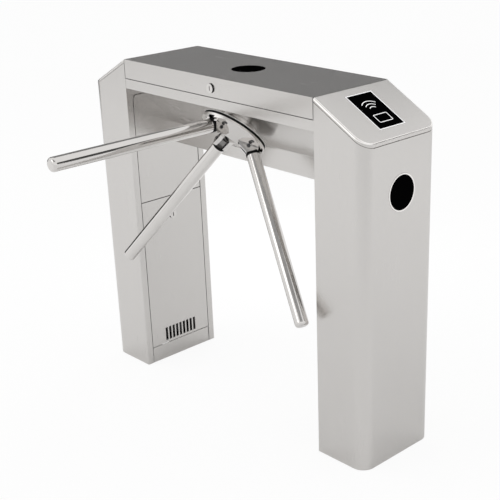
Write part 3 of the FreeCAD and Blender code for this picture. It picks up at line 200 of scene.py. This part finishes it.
def brushed(name, level, roughness, along):
    """Satin sheet whose fine lines run along one axis."""
    finish = Finish(name, Metallic=1.0)
    lines = finish.noise(LINE_SCALE, drawn_out(along, LINE_DRAW), 3.0)
    bands = finish.noise(BAND_SCALE, drawn_out(along, BAND_DRAW), 2.0)
    clouds = finish.noise(CLOUD_SCALE, detail=3.0)
    shade = lines * 0.5 + bands * 0.25 + clouds * 0.25
    dark, light = grey(level * DARKEST, WARMTH), grey(level * SHEET_LIGHTEST, WARMTH)
    finish.set("Base Color", finish.mix(shade, dark, light))
    finish.set("Roughness", around(roughness, (lines, 0.10), (clouds, 0.06)))
    finish.bump(lines + bands, SHEET_SCRATCH, SCRATCH_DEPTH)
    return finish.material


def polished(name, level, roughness):
    """Bright metal with faint marks of the polishing wheel."""
    finish = Finish(name, Metallic=1.0)
    marks = finish.noise(MARK_SCALE, detail=4.0)
    clouds = finish.noise(STAIN_SCALE, detail=3.0)
    dark, light = grey(level * DARKEST, WARMTH), grey(level * POLISH_LIGHTEST, WARMTH)
    finish.set("Base Color", finish.mix(clouds, dark, light))
    finish.set("Roughness", around(roughness, (marks, 0.06), (clouds, 0.08)))
    finish.bump(marks, POLISH_SCRATCH, SCRATCH_DEPTH)
    return finish.material


upright_sheet = brushed("upright_brushed_sheet", 0.64, 0.25, "Z")
lengthwise_sheet = brushed("lengthwise_brushed_sheet", 0.64, 0.25, "X")
polished_tube = polished("polished_tube", 0.68, 0.08)
polished_casting = polished("polished_casting", 0.66, 0.09)
print("sheet, tube and casting finishes made")

# %% [markdown]
# ## Dark acrylic, rubber and the metal inside
# Lamp covers and the reader window are smoked acrylic: nearly black, glossy, with a little dust that dulls
# it. The collars and gasket are matt rubber. Inside the beam the parts are zinc plated, cast, lacquered or
# moulded.

# %% Other finishes
CLOUD_SPREAD = 12
GRAIN_DEPTH = 0.0001


def mottled(name, colour, spread, roughness, metallic=0.0, scale=60, coat=0.0, relief=0.05, gloss=0.5,
            glow=0.0):
    """Plain finish with fine uneven colour, gloss and relief."""
    finish = Finish(name, Metallic=metallic, Coat_Weight=coat, Specular_IOR_Level=gloss,
                    Emission_Strength=glow)
    specks = finish.noise(scale, detail=4.0)
    clouds = finish.noise(scale / CLOUD_SPREAD, detail=2.0)
    dark = [v * (1 - spread) for v in colour] + [1]
    light = [v * (1 + spread) for v in colour] + [1]
    finish.set("Base Color", finish.mix(specks * 0.5 + clouds * 0.5, dark, light))
    finish.set("Roughness", around(roughness, (specks, 0.12), (clouds, 0.10)))
    finish.bump(specks, relief, GRAIN_DEPTH)
    return finish.material


smoked_acrylic = mottled("smoked_acrylic", (0.0012, 0.0012, 0.0013), 0.3, 0.26, scale=220, relief=0.01,
                         gloss=0.0)
# painted glow: the white print gives off a little light of its own so it stays white in the shade
white_print_with_painted_glow = mottled("white_print_with_painted_glow", (0.93, 0.93, 0.93), 0.03, 0.45, scale=400, glow=0.25)
black_rubber = mottled("black_rubber", (0.006, 0.006, 0.006), 0.3, 0.62, scale=600, relief=0.15,
                       gloss=0.15)
# painted shade: the lock's sides are made near black
lock_side_painted_shade = mottled("lock_side_painted_shade", (0.012, 0.012, 0.012), 0.3, 0.50, scale=300, gloss=0.2)
black_oxide = mottled("black_oxide", (0.07, 0.07, 0.073), 0.3, 0.42, 0.6, scale=300)
SLOT_FINISH = {
    "casing_steel": upright_sheet,
    "polished_steel": polished_tube,
    "polished_casting": polished_casting,
    "black_rubber": black_rubber,
    "dark_steel": black_oxide,
    "black_lens": smoked_acrylic,
    "bright_ring": polished("bright_ring", 0.93, 0.12),
    "lock_chrome": polished("lock_chrome", 0.70, 0.14),
    "shaft_steel": polished("turned_steel", 0.24, 0.30),
    "bearing_steel": polished("ground_steel", 0.62, 0.24),
    "hinge_steel": brushed("hinge_steel", 0.58, 0.36, "X"),
    "disc_aluminium": polished("disc_aluminium", 0.66, 0.34),
    "zinc_steel": mottled("zinc_plate", (0.52, 0.53, 0.55), 0.12, 0.42, 1.0, scale=90),
    "cast_aluminium": mottled("sand_cast", (0.48, 0.48, 0.48), 0.10, 0.55, 1.0, scale=500, relief=0.3),
    "solenoid_black": mottled("black_lacquer", (0.03, 0.03, 0.033), 0.2, 0.35, scale=150, coat=0.3),
    "sensor_plastic": mottled("moulded_plastic", (0.04, 0.04, 0.042), 0.2, 0.5, scale=300),
    "board_green": mottled("circuit_board", (0.02, 0.16, 0.06), 0.25, 0.4, scale=120),
    "supply_case": mottled("supply_case", (0.56, 0.57, 0.58), 0.08, 0.38, 1.0, scale=80),
}
for row in frame["record"]["subparts"]:
    mesh = frame["nodes"][row["node"]].data
    mesh.materials.clear()
    mesh.materials.append(SLOT_FINISH[row["material_slot"]])

# %% [markdown]
# ## From a bmesh to a piece
# Every new piece ends the same way: its mesh gets smooth shading with sharp creases, one finish, the body
# that it moves with and the CAD nodes that it stands for. Smooth shading would bend the light over a flat
# face next to a small bevel, so a Weighted Normal modifier lets the large faces decide: they stay flat and
# only the bevels turn.

# %% Finishing a piece
CREASE = math.radians(32)


def piece(name, bm, material, body, slot, *nodes):
    """Mesh made into an object with its finish, its body and the nodes it replaces; its slot is not used."""
    mesh = bpy.data.meshes.new(name)
    bm.to_mesh(mesh)
    bm.free()
    mesh.materials.append(material)
    mesh.shade_smooth()
    mesh.set_sharp_from_angle(angle=CREASE)
    made = bpy.data.objects.new(name, mesh)
    bpy.context.scene.collection.objects.link(made)
    flat = made.modifiers.new("flat_faces", "WEIGHTED_NORMAL")
    flat.keep_sharp = True
    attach(made, body)
    if nodes:
        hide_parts(*nodes)
    return made


# %% [markdown]
# ## Folded sheet with soft bends
# Real sheet never has a razor edge: a bend has a radius and a cut edge is broken by hand. A copy of each
# CAD shell is merged, its flat triangles are dissolved into whole faces, and every edge sharper than a
# crease gets a small bevel that catches the light.

# %% Casing shells
MERGE_GAP = 0.01 * MM
FLAT_ANGLE = math.radians(0.3)


def merged(node):
    """Copy of a CAD node with its triangles joined into whole faces."""
    bm = bmesh.new()
    bm.from_mesh(frame["nodes"][node].data)
    bmesh.ops.remove_doubles(bm, verts=bm.verts, dist=MERGE_GAP)
    bmesh.ops.dissolve_limit(bm, angle_limit=FLAT_ANGLE, verts=bm.verts, edges=bm.edges)
    return bm


def sharp_edges(bm, crease=CREASE):
    """Edges whose two faces meet at more than a crease."""
    return [edge for edge in bm.edges if edge.is_manifold and edge.calc_face_angle(0) > crease]


def rounded(bm, edges, width, segments=2):
    """Bevel with a round profile; gives the new faces."""
    made = bmesh.ops.bevel(bm, geom=edges, offset=width, offset_type="OFFSET", affect="EDGES",
                           segments=segments, profile=0.5, material=-1, clamp_overlap=True)
    return made["faces"]


def softened(node, width):
    """Copy of a CAD node with its sharp edges rounded."""
    bm = merged(node)
    rounded(bm, sharp_edges(bm), width)
    return bm


BEND = 0.9 * MM
CUT_EDGE = 0.5 * MM
RING_EDGE = 0.35 * MM
FRAME_SHELLS = {"left_leg_shell": upright_sheet, "right_leg_shell": upright_sheet,
                "left_upper_panel": upright_sheet, "right_upper_panel": upright_sheet,
                "plinth_panels": upright_sheet, "beam_tray": lengthwise_sheet,
                "beam_back_panel": lengthwise_sheet, "hub_shroud": polished_casting}
for node, finish in FRAME_SHELLS.items():
    piece(node + "_skin", softened(node, BEND), finish, "frame", "casing_steel", node)
piece("lid_cover_skin", softened("lid_cover", BEND), lengthwise_sheet, "lid", "casing_steel", "lid_cover")
for side in ("left", "right"):
    door = side + "_door"
    piece(door + "_skin", softened(door, CUT_EDGE), upright_sheet, door, "casing_steel", door)
rings = softened("end_lens_rings", RING_EDGE)
piece("end_lens_trims", rings, SLOT_FINISH["bright_ring"], "frame", "bright_ring", "end_lens_rings")
print(len(FRAME_SHELLS), "casing shells, a lid, two doors and two lens rings")

# %% [markdown]
# ## Head caps
# The sloped caps are pressed over the legs, so their free edges have a wide bend, which the CAD shape
# already has. The bend gets a brighter finish than the sheet, a painted highlight that draws a light line
# round the slope. Its faces are found by their normals: they have left the slope and aren't upright yet.

# %% Caps
FACING_UP = 0.5
ON_SLOPE = 0.995
UPRIGHT = 0.03
# painted highlight: the bend faces get this brighter finish, a light line round the slope
bend_painted_highlight = polished("bend_painted_highlight", 0.92, 0.34)


def bent_cap(node):
    """Head cap with its bend marked for a second finish, the painted highlight."""
    bm = merged(node)
    low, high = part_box(node)
    middle = (Vector(low) + Vector(high)) / 2
    upper = [face for face in bm.faces if face.normal.z > FACING_UP]
    slope = max(upper, key=lambda face: face.calc_area())
    bend = 0
    for face in bm.faces:
        outward = face.normal.dot(face.calc_center_median() - middle) > 0
        if outward and face.normal.z > UPRIGHT and face.normal.dot(slope.normal) < ON_SLOPE:
            face.material_index = 1
            bend += 1
    rounded(bm, sharp_edges(bm), CUT_EDGE)
    print(node, "has", bend, "faces in its bend")
    return bm


for side in ("left", "right"):
    cap = side + "_head_cap"
    skin = piece(cap + "_skin", bent_cap(cap), lengthwise_sheet, "frame", "casing_steel", cap)
    # the second finish is the painted highlight on the bend
    skin.data.materials.append(bend_painted_highlight)

# %% [markdown]
# ## Key locks
# A lock has a bright chrome face, and its sides are painted near black as shade. Both are one piece with two
# finishes: the faces square to the lock's axis keep the first, everything else gets the second.

# %% Locks
FACE_TILT = 0.8
LOCK_EDGE = 0.6 * MM


def key_lock(node, axis):
    """Lock whose faces along the axis are chrome and whose sides are painted dark as shade."""
    plug = softened(node, LOCK_EDGE)
    made = piece(node + "_plug", plug, SLOT_FINISH["lock_chrome"], node, "lock_chrome", node)
    # the sides get the painted shade finish
    made.data.materials.append(lock_side_painted_shade)
    sides = [p for p in made.data.polygons if abs(p.normal.dot(axis)) < FACE_TILT]
    for side in sides:
        side.material_index = 1
    print(node, "has", len(sides), "dark faces of", len(made.data.polygons))


key_lock("lid_lock", Vector((0, 1, 0)))
key_lock("left_door_lock", Vector((1, 0, 0)))
key_lock("right_door_lock", Vector((1, 0, 0)))

# %% [markdown]
# ## Turned pieces
# Tubes, rings and lenses are round, so each is one outline spun about an axis. The outline is a list of
# radius and height, with a rounded corner worked out as a short arc.

# %% Spinning
SPIN_GAP = 0.005 * MM
FINE_STEPS = 128


def corner(radius, height, size, start, steps=5):
    """Quarter arc about a centre, from the start angle on, as outline points."""
    angles = [math.radians(start + 90 * i / steps) for i in range(steps + 1)]
    return [(radius + size * math.cos(a), height + size * math.sin(a)) for a in angles]


def turned(outline, place, steps=64):
    """Outline of radius and height spun about Z and set in place."""
    bm = bmesh.new()
    verts = [bm.verts.new((radius, 0, height)) for radius, height in outline]
    edges = [bm.edges.new(pair) for pair in zip(verts, verts[1:])]
    bmesh.ops.spin(bm, geom=verts + edges, cent=(0, 0, 0), axis=(0, 0, 1), angle=math.tau, steps=steps,
                   use_merge=True)
    bmesh.ops.remove_doubles(bm, verts=bm.verts, dist=SPIN_GAP)
    bmesh.ops.recalc_face_normals(bm, faces=bm.faces)
    bmesh.ops.transform(bm, matrix=place, verts=bm.verts)
    return bm


def joined(parts):
    """Several bmeshes as one."""
    whole = bmesh.new()
    for part in parts:
        mesh = bpy.data.meshes.new("part")
        part.to_mesh(mesh)
        part.free()
        whole.from_mesh(mesh)
        bpy.data.meshes.remove(mesh)
    return whole


print("spun pieces are closed where points lie within %.3f mm" % (SPIN_GAP / MM))

# %% [markdown]
# ## Sizes read from the CAD pieces
# A spun piece needs its radii and its two ends. They are read from the CAD node it stands for: every point
# of the node is taken to the piece's own axis, and the points close to that axis give the smallest and
# largest radius and height.

# %% Measuring a round node
ARM_REACH = 25 * MM
HUB_REACH = 110 * MM


def measured(node, place, reach):
    """Least and greatest radius, then least and greatest height, of a node's points about a place's Z."""
    to_axis = place.inverted()
    points = [to_axis @ vert.co for vert in frame["nodes"][node].data.vertices]
    points = [p for p in points if p.xy.length < reach and p.z > 0]
    radii = [p.xy.length for p in points]
    heights = [p.z for p in points]
    return min(radii), max(radii), min(heights), max(heights)


front_arm = arm_place(ARMS["front"])
arm_bore, arm_radius, tube_start, tube_end = measured("front_arm_tube", front_arm, ARM_REACH)
arm_tip = measured("arm_end_caps", front_arm, ARM_REACH)[3]
collar_bore, collar_radius, collar_start, collar_end = measured("arm_collars", front_arm, ARM_REACH)
plate_bore, plate_radius, plate_start, plate_end = measured("hub_back_plate", HUB, HUB_REACH)
gasket_bore, gasket_radius, gasket_start, gasket_end = measured("hub_gasket", HUB, HUB_REACH)
print("tube radius %.1f mm, %.0f mm long" % (arm_radius / MM, (tube_end - tube_start) / MM))
gasket_thick = gasket_end - gasket_start
print("hub plate radius %.1f mm, gasket %.1f mm thick" % (plate_radius / MM, gasket_thick / MM))

# %% [markdown]
# ## The three arms
# Each arm is a polished tube with a welded, rounded end and a black collar where it meets the hub.

# %% Arms
TIP_ROUND = 8 * MM
COLLAR_ROUND = 0.8 * MM

tube = [(arm_bore, tube_end), (arm_bore, tube_start), (arm_radius, tube_start), (arm_radius, tube_end),
        (arm_bore, tube_end)]
tip = [(0, tube_end), (arm_radius, tube_end)]
tip += corner(arm_radius - TIP_ROUND, arm_tip - TIP_ROUND, TIP_ROUND, 0)
tip += [(0, arm_tip)]
collar = [(collar_bore, collar_end), (collar_bore, collar_start)]
collar += corner(collar_radius - COLLAR_ROUND, collar_start + COLLAR_ROUND, COLLAR_ROUND, -90)
collar += corner(collar_radius - COLLAR_ROUND, collar_end - COLLAR_ROUND, COLLAR_ROUND, 0)
collar += [(collar_bore, collar_end)]
for name, degrees in ARMS.items():
    node = name + "_arm_tube"
    pipe = turned(tube, arm_place(degrees))
    piece(node + "_polished", pipe, polished_tube, "tripod", "polished_steel", node)
tips = joined([turned(tip, arm_place(degrees)) for degrees in ARMS.values()])
piece("arm_tips", tips, polished_tube, "tripod", "polished_steel", "arm_end_caps")
collars = joined([turned(collar, arm_place(degrees)) for degrees in ARMS.values()])
piece("arm_collar_rings", collars, black_rubber, "tripod", "black_rubber", "arm_collars")
print(len(ARMS), "arms with tips and collars")

# %% [markdown]
# ## The hub
# A back plate, a black gasket and a polished casting with three pairs of ears, screwed together. The plate
# is painted pale and half matt, so that it reads lighter where it sits in shade. The casting keeps its CAD
# shape and gets the rounded edges that polishing leaves. Its rim and every rounded edge get a second,
# lighter and less smooth finish: a painted highlight.

# %% Hub
PLATE_ROUND = 0.5 * MM
RIM_DEPTH = 1.5 * MM
CASTING_ROUND = 1.4 * MM
CASTING_CREASE = math.radians(12)
# painted highlight: lighter finish for the rim and the rounded edges of the casting
rim_and_edge_painted_highlight = polished("rim_and_edge_painted_highlight", 0.93, 0.30)
# painted light: the plate is pale and half matt so that it reads lighter where it sits in shade
plate_pale_against_shade = mottled("plate_pale_against_shade", (0.86, 0.85, 0.83), 0.06, 0.40, 0.35, scale=200, relief=0.02)

plate = [(plate_bore, plate_end), (plate_bore, plate_start)]
plate += corner(plate_radius - PLATE_ROUND, plate_start + PLATE_ROUND, PLATE_ROUND, -90)
plate += corner(plate_radius - PLATE_ROUND, plate_end - PLATE_ROUND, PLATE_ROUND, 0)
plate += [(plate_bore, plate_end)]
disc = turned(plate, HUB, FINE_STEPS)
# the back disc gets the pale finish that is painted against its shade
piece("hub_back_disc", disc, plate_pale_against_shade, "tripod", "polished_steel", "hub_back_plate")
gasket = [(gasket_bore, gasket_end), (gasket_bore, gasket_start), (gasket_radius, gasket_start),
          (gasket_radius, gasket_end), (gasket_bore, gasket_end)]
ring = turned(gasket, HUB, FINE_STEPS)
piece("hub_gasket_ring", ring, black_rubber, "tripod", "black_rubber", "hub_gasket")
casting = merged("hub_casting")
bright = rounded(casting, sharp_edges(casting, CASTING_CREASE), CASTING_ROUND)
to_hub = HUB.inverted()
bright += [face for face in casting.faces
           if (to_hub @ face.calc_center_median()).xy.length > plate_radius - RIM_DEPTH]
# these faces get the painted highlight finish
for face in bright:
    face.material_index = 1
hub = piece("hub_casting_polished", casting, polished_casting, "tripod", "polished_casting", "hub_casting")
hub.data.materials.append(rim_and_edge_painted_highlight)
print("hub plate, gasket and casting with", len(bright), "bright faces")

# %% [markdown]
# ## Screws with a dished head
# The hub's screws are dark and lie almost flush, each with a shallow dish in its head. On the merged CAD
# copy a head's end is one flat face as wide as the head. Insetting that face and sinking its middle makes
# the dish.

# %% Hub screws
DISH_SHARE = 0.62
DISH_DEPTH = 0.4 * MM
HEAD_LEAST = 60 * MM * MM
ROUND_LEAST = 8

screws = softened("hub_screws", CUT_EDGE)
ends = [face for face in screws.faces if face.calc_area() > HEAD_LEAST and len(face.verts) > ROUND_LEAST]
for face in ends:
    middle = face.calc_center_median()
    radius = (face.verts[0].co - middle).length
    bmesh.ops.inset_individual(screws, faces=[face], thickness=radius * (1 - DISH_SHARE))
    inward = face.normal * -DISH_DEPTH
    sunk = bmesh.ops.extrude_discrete_faces(screws, faces=[face])["faces"]
    bmesh.ops.translate(screws, vec=inward, verts=sunk[0].verts)
piece("hub_cap_screws", screws, black_oxide, "tripod", "dark_steel", "hub_screws")
print(len(ends), "dished screw heads")

# %% [markdown]
# ## The reader window and its sign
# Behind the sloped head lies a card reader, and its black window carries a printed sign: where to hold the
# card. The print is a thin raised film with a faint painted glow, so it stays white in the shade. A white
# frame follows the window's edge.
# The sign is a plain card with three arcs over it: the card is a bevelled rectangle with its middle taken
# out, an arc is a small section spun through part of a turn. No slot of the record is white ink, so the
# print names none.

# %% Window places
PRINT_THICK = 0.12 * MM
LEVEL_SLACK = 0.05 * MM


def window_place(side):
    """Matrix on a window's middle, X down the slope and Z out of it; also gives the half sizes."""
    mesh = frame["nodes"]["reader_windows"].data
    slope = [p for p in mesh.polygons if p.normal.z > FACING_UP and p.center.x * side > 0]
    out = max(slope, key=lambda p: p.area).normal.copy()
    level = max(p.center.dot(out) for p in slope)
    top = [p for p in slope if level - p.center.dot(out) < LEVEL_SLACK]
    points = [mesh.vertices[i].co for p in top for i in p.vertices]
    across = Vector((0, side, 0))
    down = across.cross(out)
    place = Matrix((down, across, out)).transposed().to_4x4()
    place.translation = sum(points, Vector()) / len(points)
    inverse = place.inverted()
    corners = [inverse @ p for p in points]
    low = [min(p[k] for p in corners) for k in (0, 1)]
    high = [max(p[k] for p in corners) for k in (0, 1)]
    place.translation = place @ Vector(((low[0] + high[0]) / 2, (low[1] + high[1]) / 2, 0))
    return place, (high[0] - low[0]) / 2, (high[1] - low[1]) / 2


for side in (-1, 1):
    place, half_long, half_wide = window_place(side)
    middle = tuple(round(v, 3) for v in place.translation)
    print("window %.0f by %.0f mm at" % (2 * half_long / MM, 2 * half_wide / MM), middle)

# %% Printed frame and sign
FRAME_LINE = 2.7 * MM
SIGN_LINE = 2.2 * MM
CARD_HALF = (15 * MM, 25 * MM)
CARD_CORNER = 4 * MM
CARD_SHIFT = 30 * MM
ARC_RADII = (16 * MM, 27 * MM, 38 * MM)
ARC_SPAN = math.radians(84)
ARC_SHIFT = 3 * MM


def outline_band(half_long, half_wide, line, corner_size=0.0):
    """Flat frame of one line width, raised by the print's thickness."""
    bm = bmesh.new()
    bmesh.ops.create_grid(bm, x_segments=1, y_segments=1, size=1)
    bmesh.ops.scale(bm, vec=(half_long, half_wide, 1), verts=bm.verts)
    if corner_size:
        bmesh.ops.bevel(bm, geom=bm.verts[:], offset=corner_size, affect="VERTICES", segments=5,
                        profile=0.5, material=-1)
    middle = bm.faces[:]
    bmesh.ops.inset_region(bm, faces=middle, thickness=line, use_boundary=True, use_even_offset=True)
    bmesh.ops.delete(bm, geom=middle, context="FACES_ONLY")
    raised = bmesh.ops.extrude_face_region(bm, geom=bm.faces[:])["geom"]
    upper = [item for item in raised if isinstance(item, bmesh.types.BMVert)]
    bmesh.ops.translate(bm, vec=(0, 0, PRINT_THICK), verts=upper)
    bmesh.ops.recalc_face_normals(bm, faces=bm.faces)
    return bm


def arc_band(radius, line, span, steps=20):
    """Arc of one line width about the Z axis, centred on the -X side."""
    bm = bmesh.new()
    inner, outer = radius - line / 2, radius + line / 2
    sides = ((inner, 0), (outer, 0), (outer, PRINT_THICK), (inner, PRINT_THICK))
    section = bm.faces.new([bm.verts.new((r, 0, z)) for r, z in sides])
    turned_out = Matrix.Rotation(math.pi - span / 2, 4, "Z")
    bmesh.ops.transform(bm, matrix=turned_out, verts=bm.verts)
    ring = section.verts[:] + section.edges[:] + [section]
    bmesh.ops.spin(bm, geom=ring, cent=(0, 0, 0), axis=(0, 0, 1), angle=span, steps=steps)
    bmesh.ops.recalc_face_normals(bm, faces=bm.faces)
    return bm


printed = []
for side in (-1, 1):
    place, half_long, half_wide = window_place(side)
    shapes = [(outline_band(half_long, half_wide, FRAME_LINE), 0)]
    shapes += [(outline_band(CARD_HALF[0], CARD_HALF[1], SIGN_LINE, CARD_CORNER), CARD_SHIFT)]
    shapes += [(arc_band(radius, SIGN_LINE, ARC_SPAN), ARC_SHIFT) for radius in ARC_RADII]
    for bm, shift in shapes:
        bmesh.ops.transform(bm, matrix=place @ Matrix.Translation((shift, 0, 0)), verts=bm.verts)
        printed.append(bm)
# the print carries the painted glow
piece("reader_print", joined(printed), white_print_with_painted_glow, "frame", None)
print(len(printed), "printed shapes on two windows")

# %% [markdown]
# ## The studio floor and surround
# A catalogue picture stands on white. The floor mixes plain paper with a white glow that the camera sees,
# so that it reads as white and still keeps the shadow. Steel mirrors the paper itself, which is darker
# close to the legs, and that is what shades their lower ends.

# %% Floor and surround
FLOOR_SIZE = 30.0
PAPER = 0.93
SEEN_WHITE = 0.90
MIRRORED_WHITE = 0.04
AMBIENT = 0.82


def stage_piece(name, bm, material):
    """Mesh made into a piece of the studio."""
    mesh = bpy.data.meshes.new(name)
    bm.to_mesh(mesh)
    bm.free()
    mesh.materials.append(material)
    made = bpy.data.objects.new(name, mesh)
    bpy.context.scene.collection.objects.link(made)
    return made


def paper_floor():
    """Floor that the camera sees as almost white and that steel mirrors as paper."""
    finish = Finish("white_paper", Roughness=0.9)
    finish.set("Base Color", grey(PAPER))
    path = finish.node("LightPath").outputs
    camera = Value(finish, path["Is Camera Ray"])
    mirror = Value(finish, path["Is Glossy Ray"])
    through = Value(finish, path["Is Transmission Ray"])
    glow = finish.node("Emission", sockets={"Color": grey(1), "Strength": 1.0})
    white = (camera + through) * SEEN_WHITE + mirror * MIRRORED_WHITE
    mixed = finish.node("MixShader", sockets={0: white, 1: finish.shader.outputs[0], 2: glow.outputs[0]})
    finish.tree.links.new(mixed.outputs[0], finish.tree.nodes["Material Output"].inputs["Surface"])
    bm = bmesh.new()
    bmesh.ops.create_grid(bm, x_segments=1, y_segments=1, size=FLOOR_SIZE / 2)
    stage_piece("studio_floor", bm, finish.material)


def white_surround():
    """World that is white where it is seen or mirrored, and lights the object at a plain level."""
    world = bpy.data.worlds.new("white_surround")
    world.use_nodes = True
    nodes, links = world.node_tree.nodes, world.node_tree.links
    path = nodes.new("ShaderNodeLightPath").outputs
    plain = nodes["Background"]
    plain.inputs["Color"].default_value = grey(AMBIENT)
    shown = plain.outputs[0]
    for ray in ("Is Camera Ray", "Is Glossy Ray", "Is Transmission Ray"):
        white = nodes.new("ShaderNodeBackground")
        white.inputs["Color"].default_value = grey(1)
        mixed = nodes.new("ShaderNodeMixShader")
        links.new(path[ray], mixed.inputs[0])
        links.new(shown, mixed.inputs[1])
        links.new(white.outputs[0], mixed.inputs[2])
        shown = mixed.outputs[0]
    links.new(shown, nodes["World Output"].inputs["Surface"])
    bpy.context.scene.world = world


paper_floor()
white_surround()
print("floor of", FLOOR_SIZE, "m, ambient level", AMBIENT)

# %% [markdown]
# ## Dark cards and soft lamps
# Polished metal only looks like metal when it has something dark to mirror. Photographers stand black cards
# just out of the picture for this. The camera doesn't see the cards here, but the steel does: the large one
# behind is what the lid mirrors, and it draws the dark lines along the arms. One small card glows, and the
# right arm mirrors it as a bright stripe. The lamps are wide and weak, so no highlight burns out.

# %% Cards and lamps


def card(name, azimuth, elevation, distance, width, height, level, glow=0.0):
    """Card that faces the object from a direction given in degrees, seen only in reflections."""
    finish = Finish("card_" + name, Roughness=0.9, Emission_Color=grey(1), Emission_Strength=glow)
    finish.set("Base Color", grey(level))
    heading, rise = math.radians(azimuth), math.radians(elevation)
    way = Vector((math.cos(heading) * math.cos(rise), math.sin(heading) * math.cos(rise), math.sin(rise)))
    bm = bmesh.new()
    bmesh.ops.create_grid(bm, x_segments=1, y_segments=1, size=0.5)
    bmesh.ops.scale(bm, vec=(width, height, 1), verts=bm.verts)
    turn = (-way).to_track_quat("Z", "Y").to_matrix().to_4x4()
    bmesh.ops.transform(bm, matrix=Matrix.Translation(way * distance) @ turn, verts=bm.verts)
    made = stage_piece("card_" + name, bm, finish.material)
    made.visible_camera = False
    made.visible_shadow = False
    made.visible_diffuse = False


def soft_lamp(name, place, target, size, watts):
    """Round lamp that shines on a target and is seen neither by the camera nor in the steel."""
    lamp = bpy.data.lights.new(name, "AREA")
    lamp.shape = "DISK"
    lamp.size = size
    lamp.energy = watts
    made = bpy.data.objects.new(name, lamp)
    made.location = place
    made.rotation_euler = (Vector(target) - Vector(place)).to_track_quat("-Z", "Y").to_euler()
    made.visible_glossy = False
    made.visible_camera = False
    bpy.context.scene.collection.objects.link(made)


card("behind", azimuth=147, elevation=24, distance=5.0, width=7.9, height=6.6, level=0.27)
card("above", azimuth=-55, elevation=60, distance=4.5, width=3.6, height=2.2, level=0.45)
card("left", azimuth=188, elevation=6, distance=4.6, width=2.4, height=1.6, level=0.03)
card("right", azimuth=42, elevation=22, distance=5.0, width=3.2, height=2.4, level=0.05)
card("highlight", azimuth=-105, elevation=33, distance=4.5, width=1.7, height=1.7, level=0.8, glow=1.3)
soft_lamp("key_lamp", place=(-3.0, -3.0, 4.5), target=(0, 0, 0.6), size=5.0, watts=66)
soft_lamp("side_lamp", place=(3.2, 2.4, 2.2), target=(3.0, 2.2, 0), size=2.5, watts=14)
soft_lamp("back_lamp", place=(-0.8, 0.95, 0.7), target=(-0.65, 0.6, 0), size=0.6, watts=2.4)
print("five cards and three soft lamps are up")

# %% [markdown]
# ## The camera
# The camera was fitted to the corners of the casing in the photograph, so its place, its slight roll and
# the shift of its frame are known.

# %% Camera
CAMERA_PLACE = Vector((2.22677, -1.98431, 1.58911))
CAMERA_LOOK = Vector((-0.66327, 0.64401, -0.38122))
CAMERA_ROLL = math.radians(-1.33)

optics = bpy.data.cameras.new("photo_camera")
optics.sensor_width = 36
optics.lens = 77.42
optics.shift_x = -0.0988
optics.shift_y = 0.0619
camera = bpy.data.objects.new("photo_camera", optics)
camera.rotation_mode = "QUATERNION"
camera.location = CAMERA_PLACE
camera.rotation_quaternion = CAMERA_LOOK.to_track_quat("-Z", "Y") @ Quaternion((0, 0, 1), CAMERA_ROLL)
bpy.context.scene.collection.objects.link(camera)
bpy.context.scene.camera = camera
bpy.context.scene.view_settings.view_transform = "Standard"
print("camera at", tuple(round(v, 2) for v in CAMERA_PLACE))
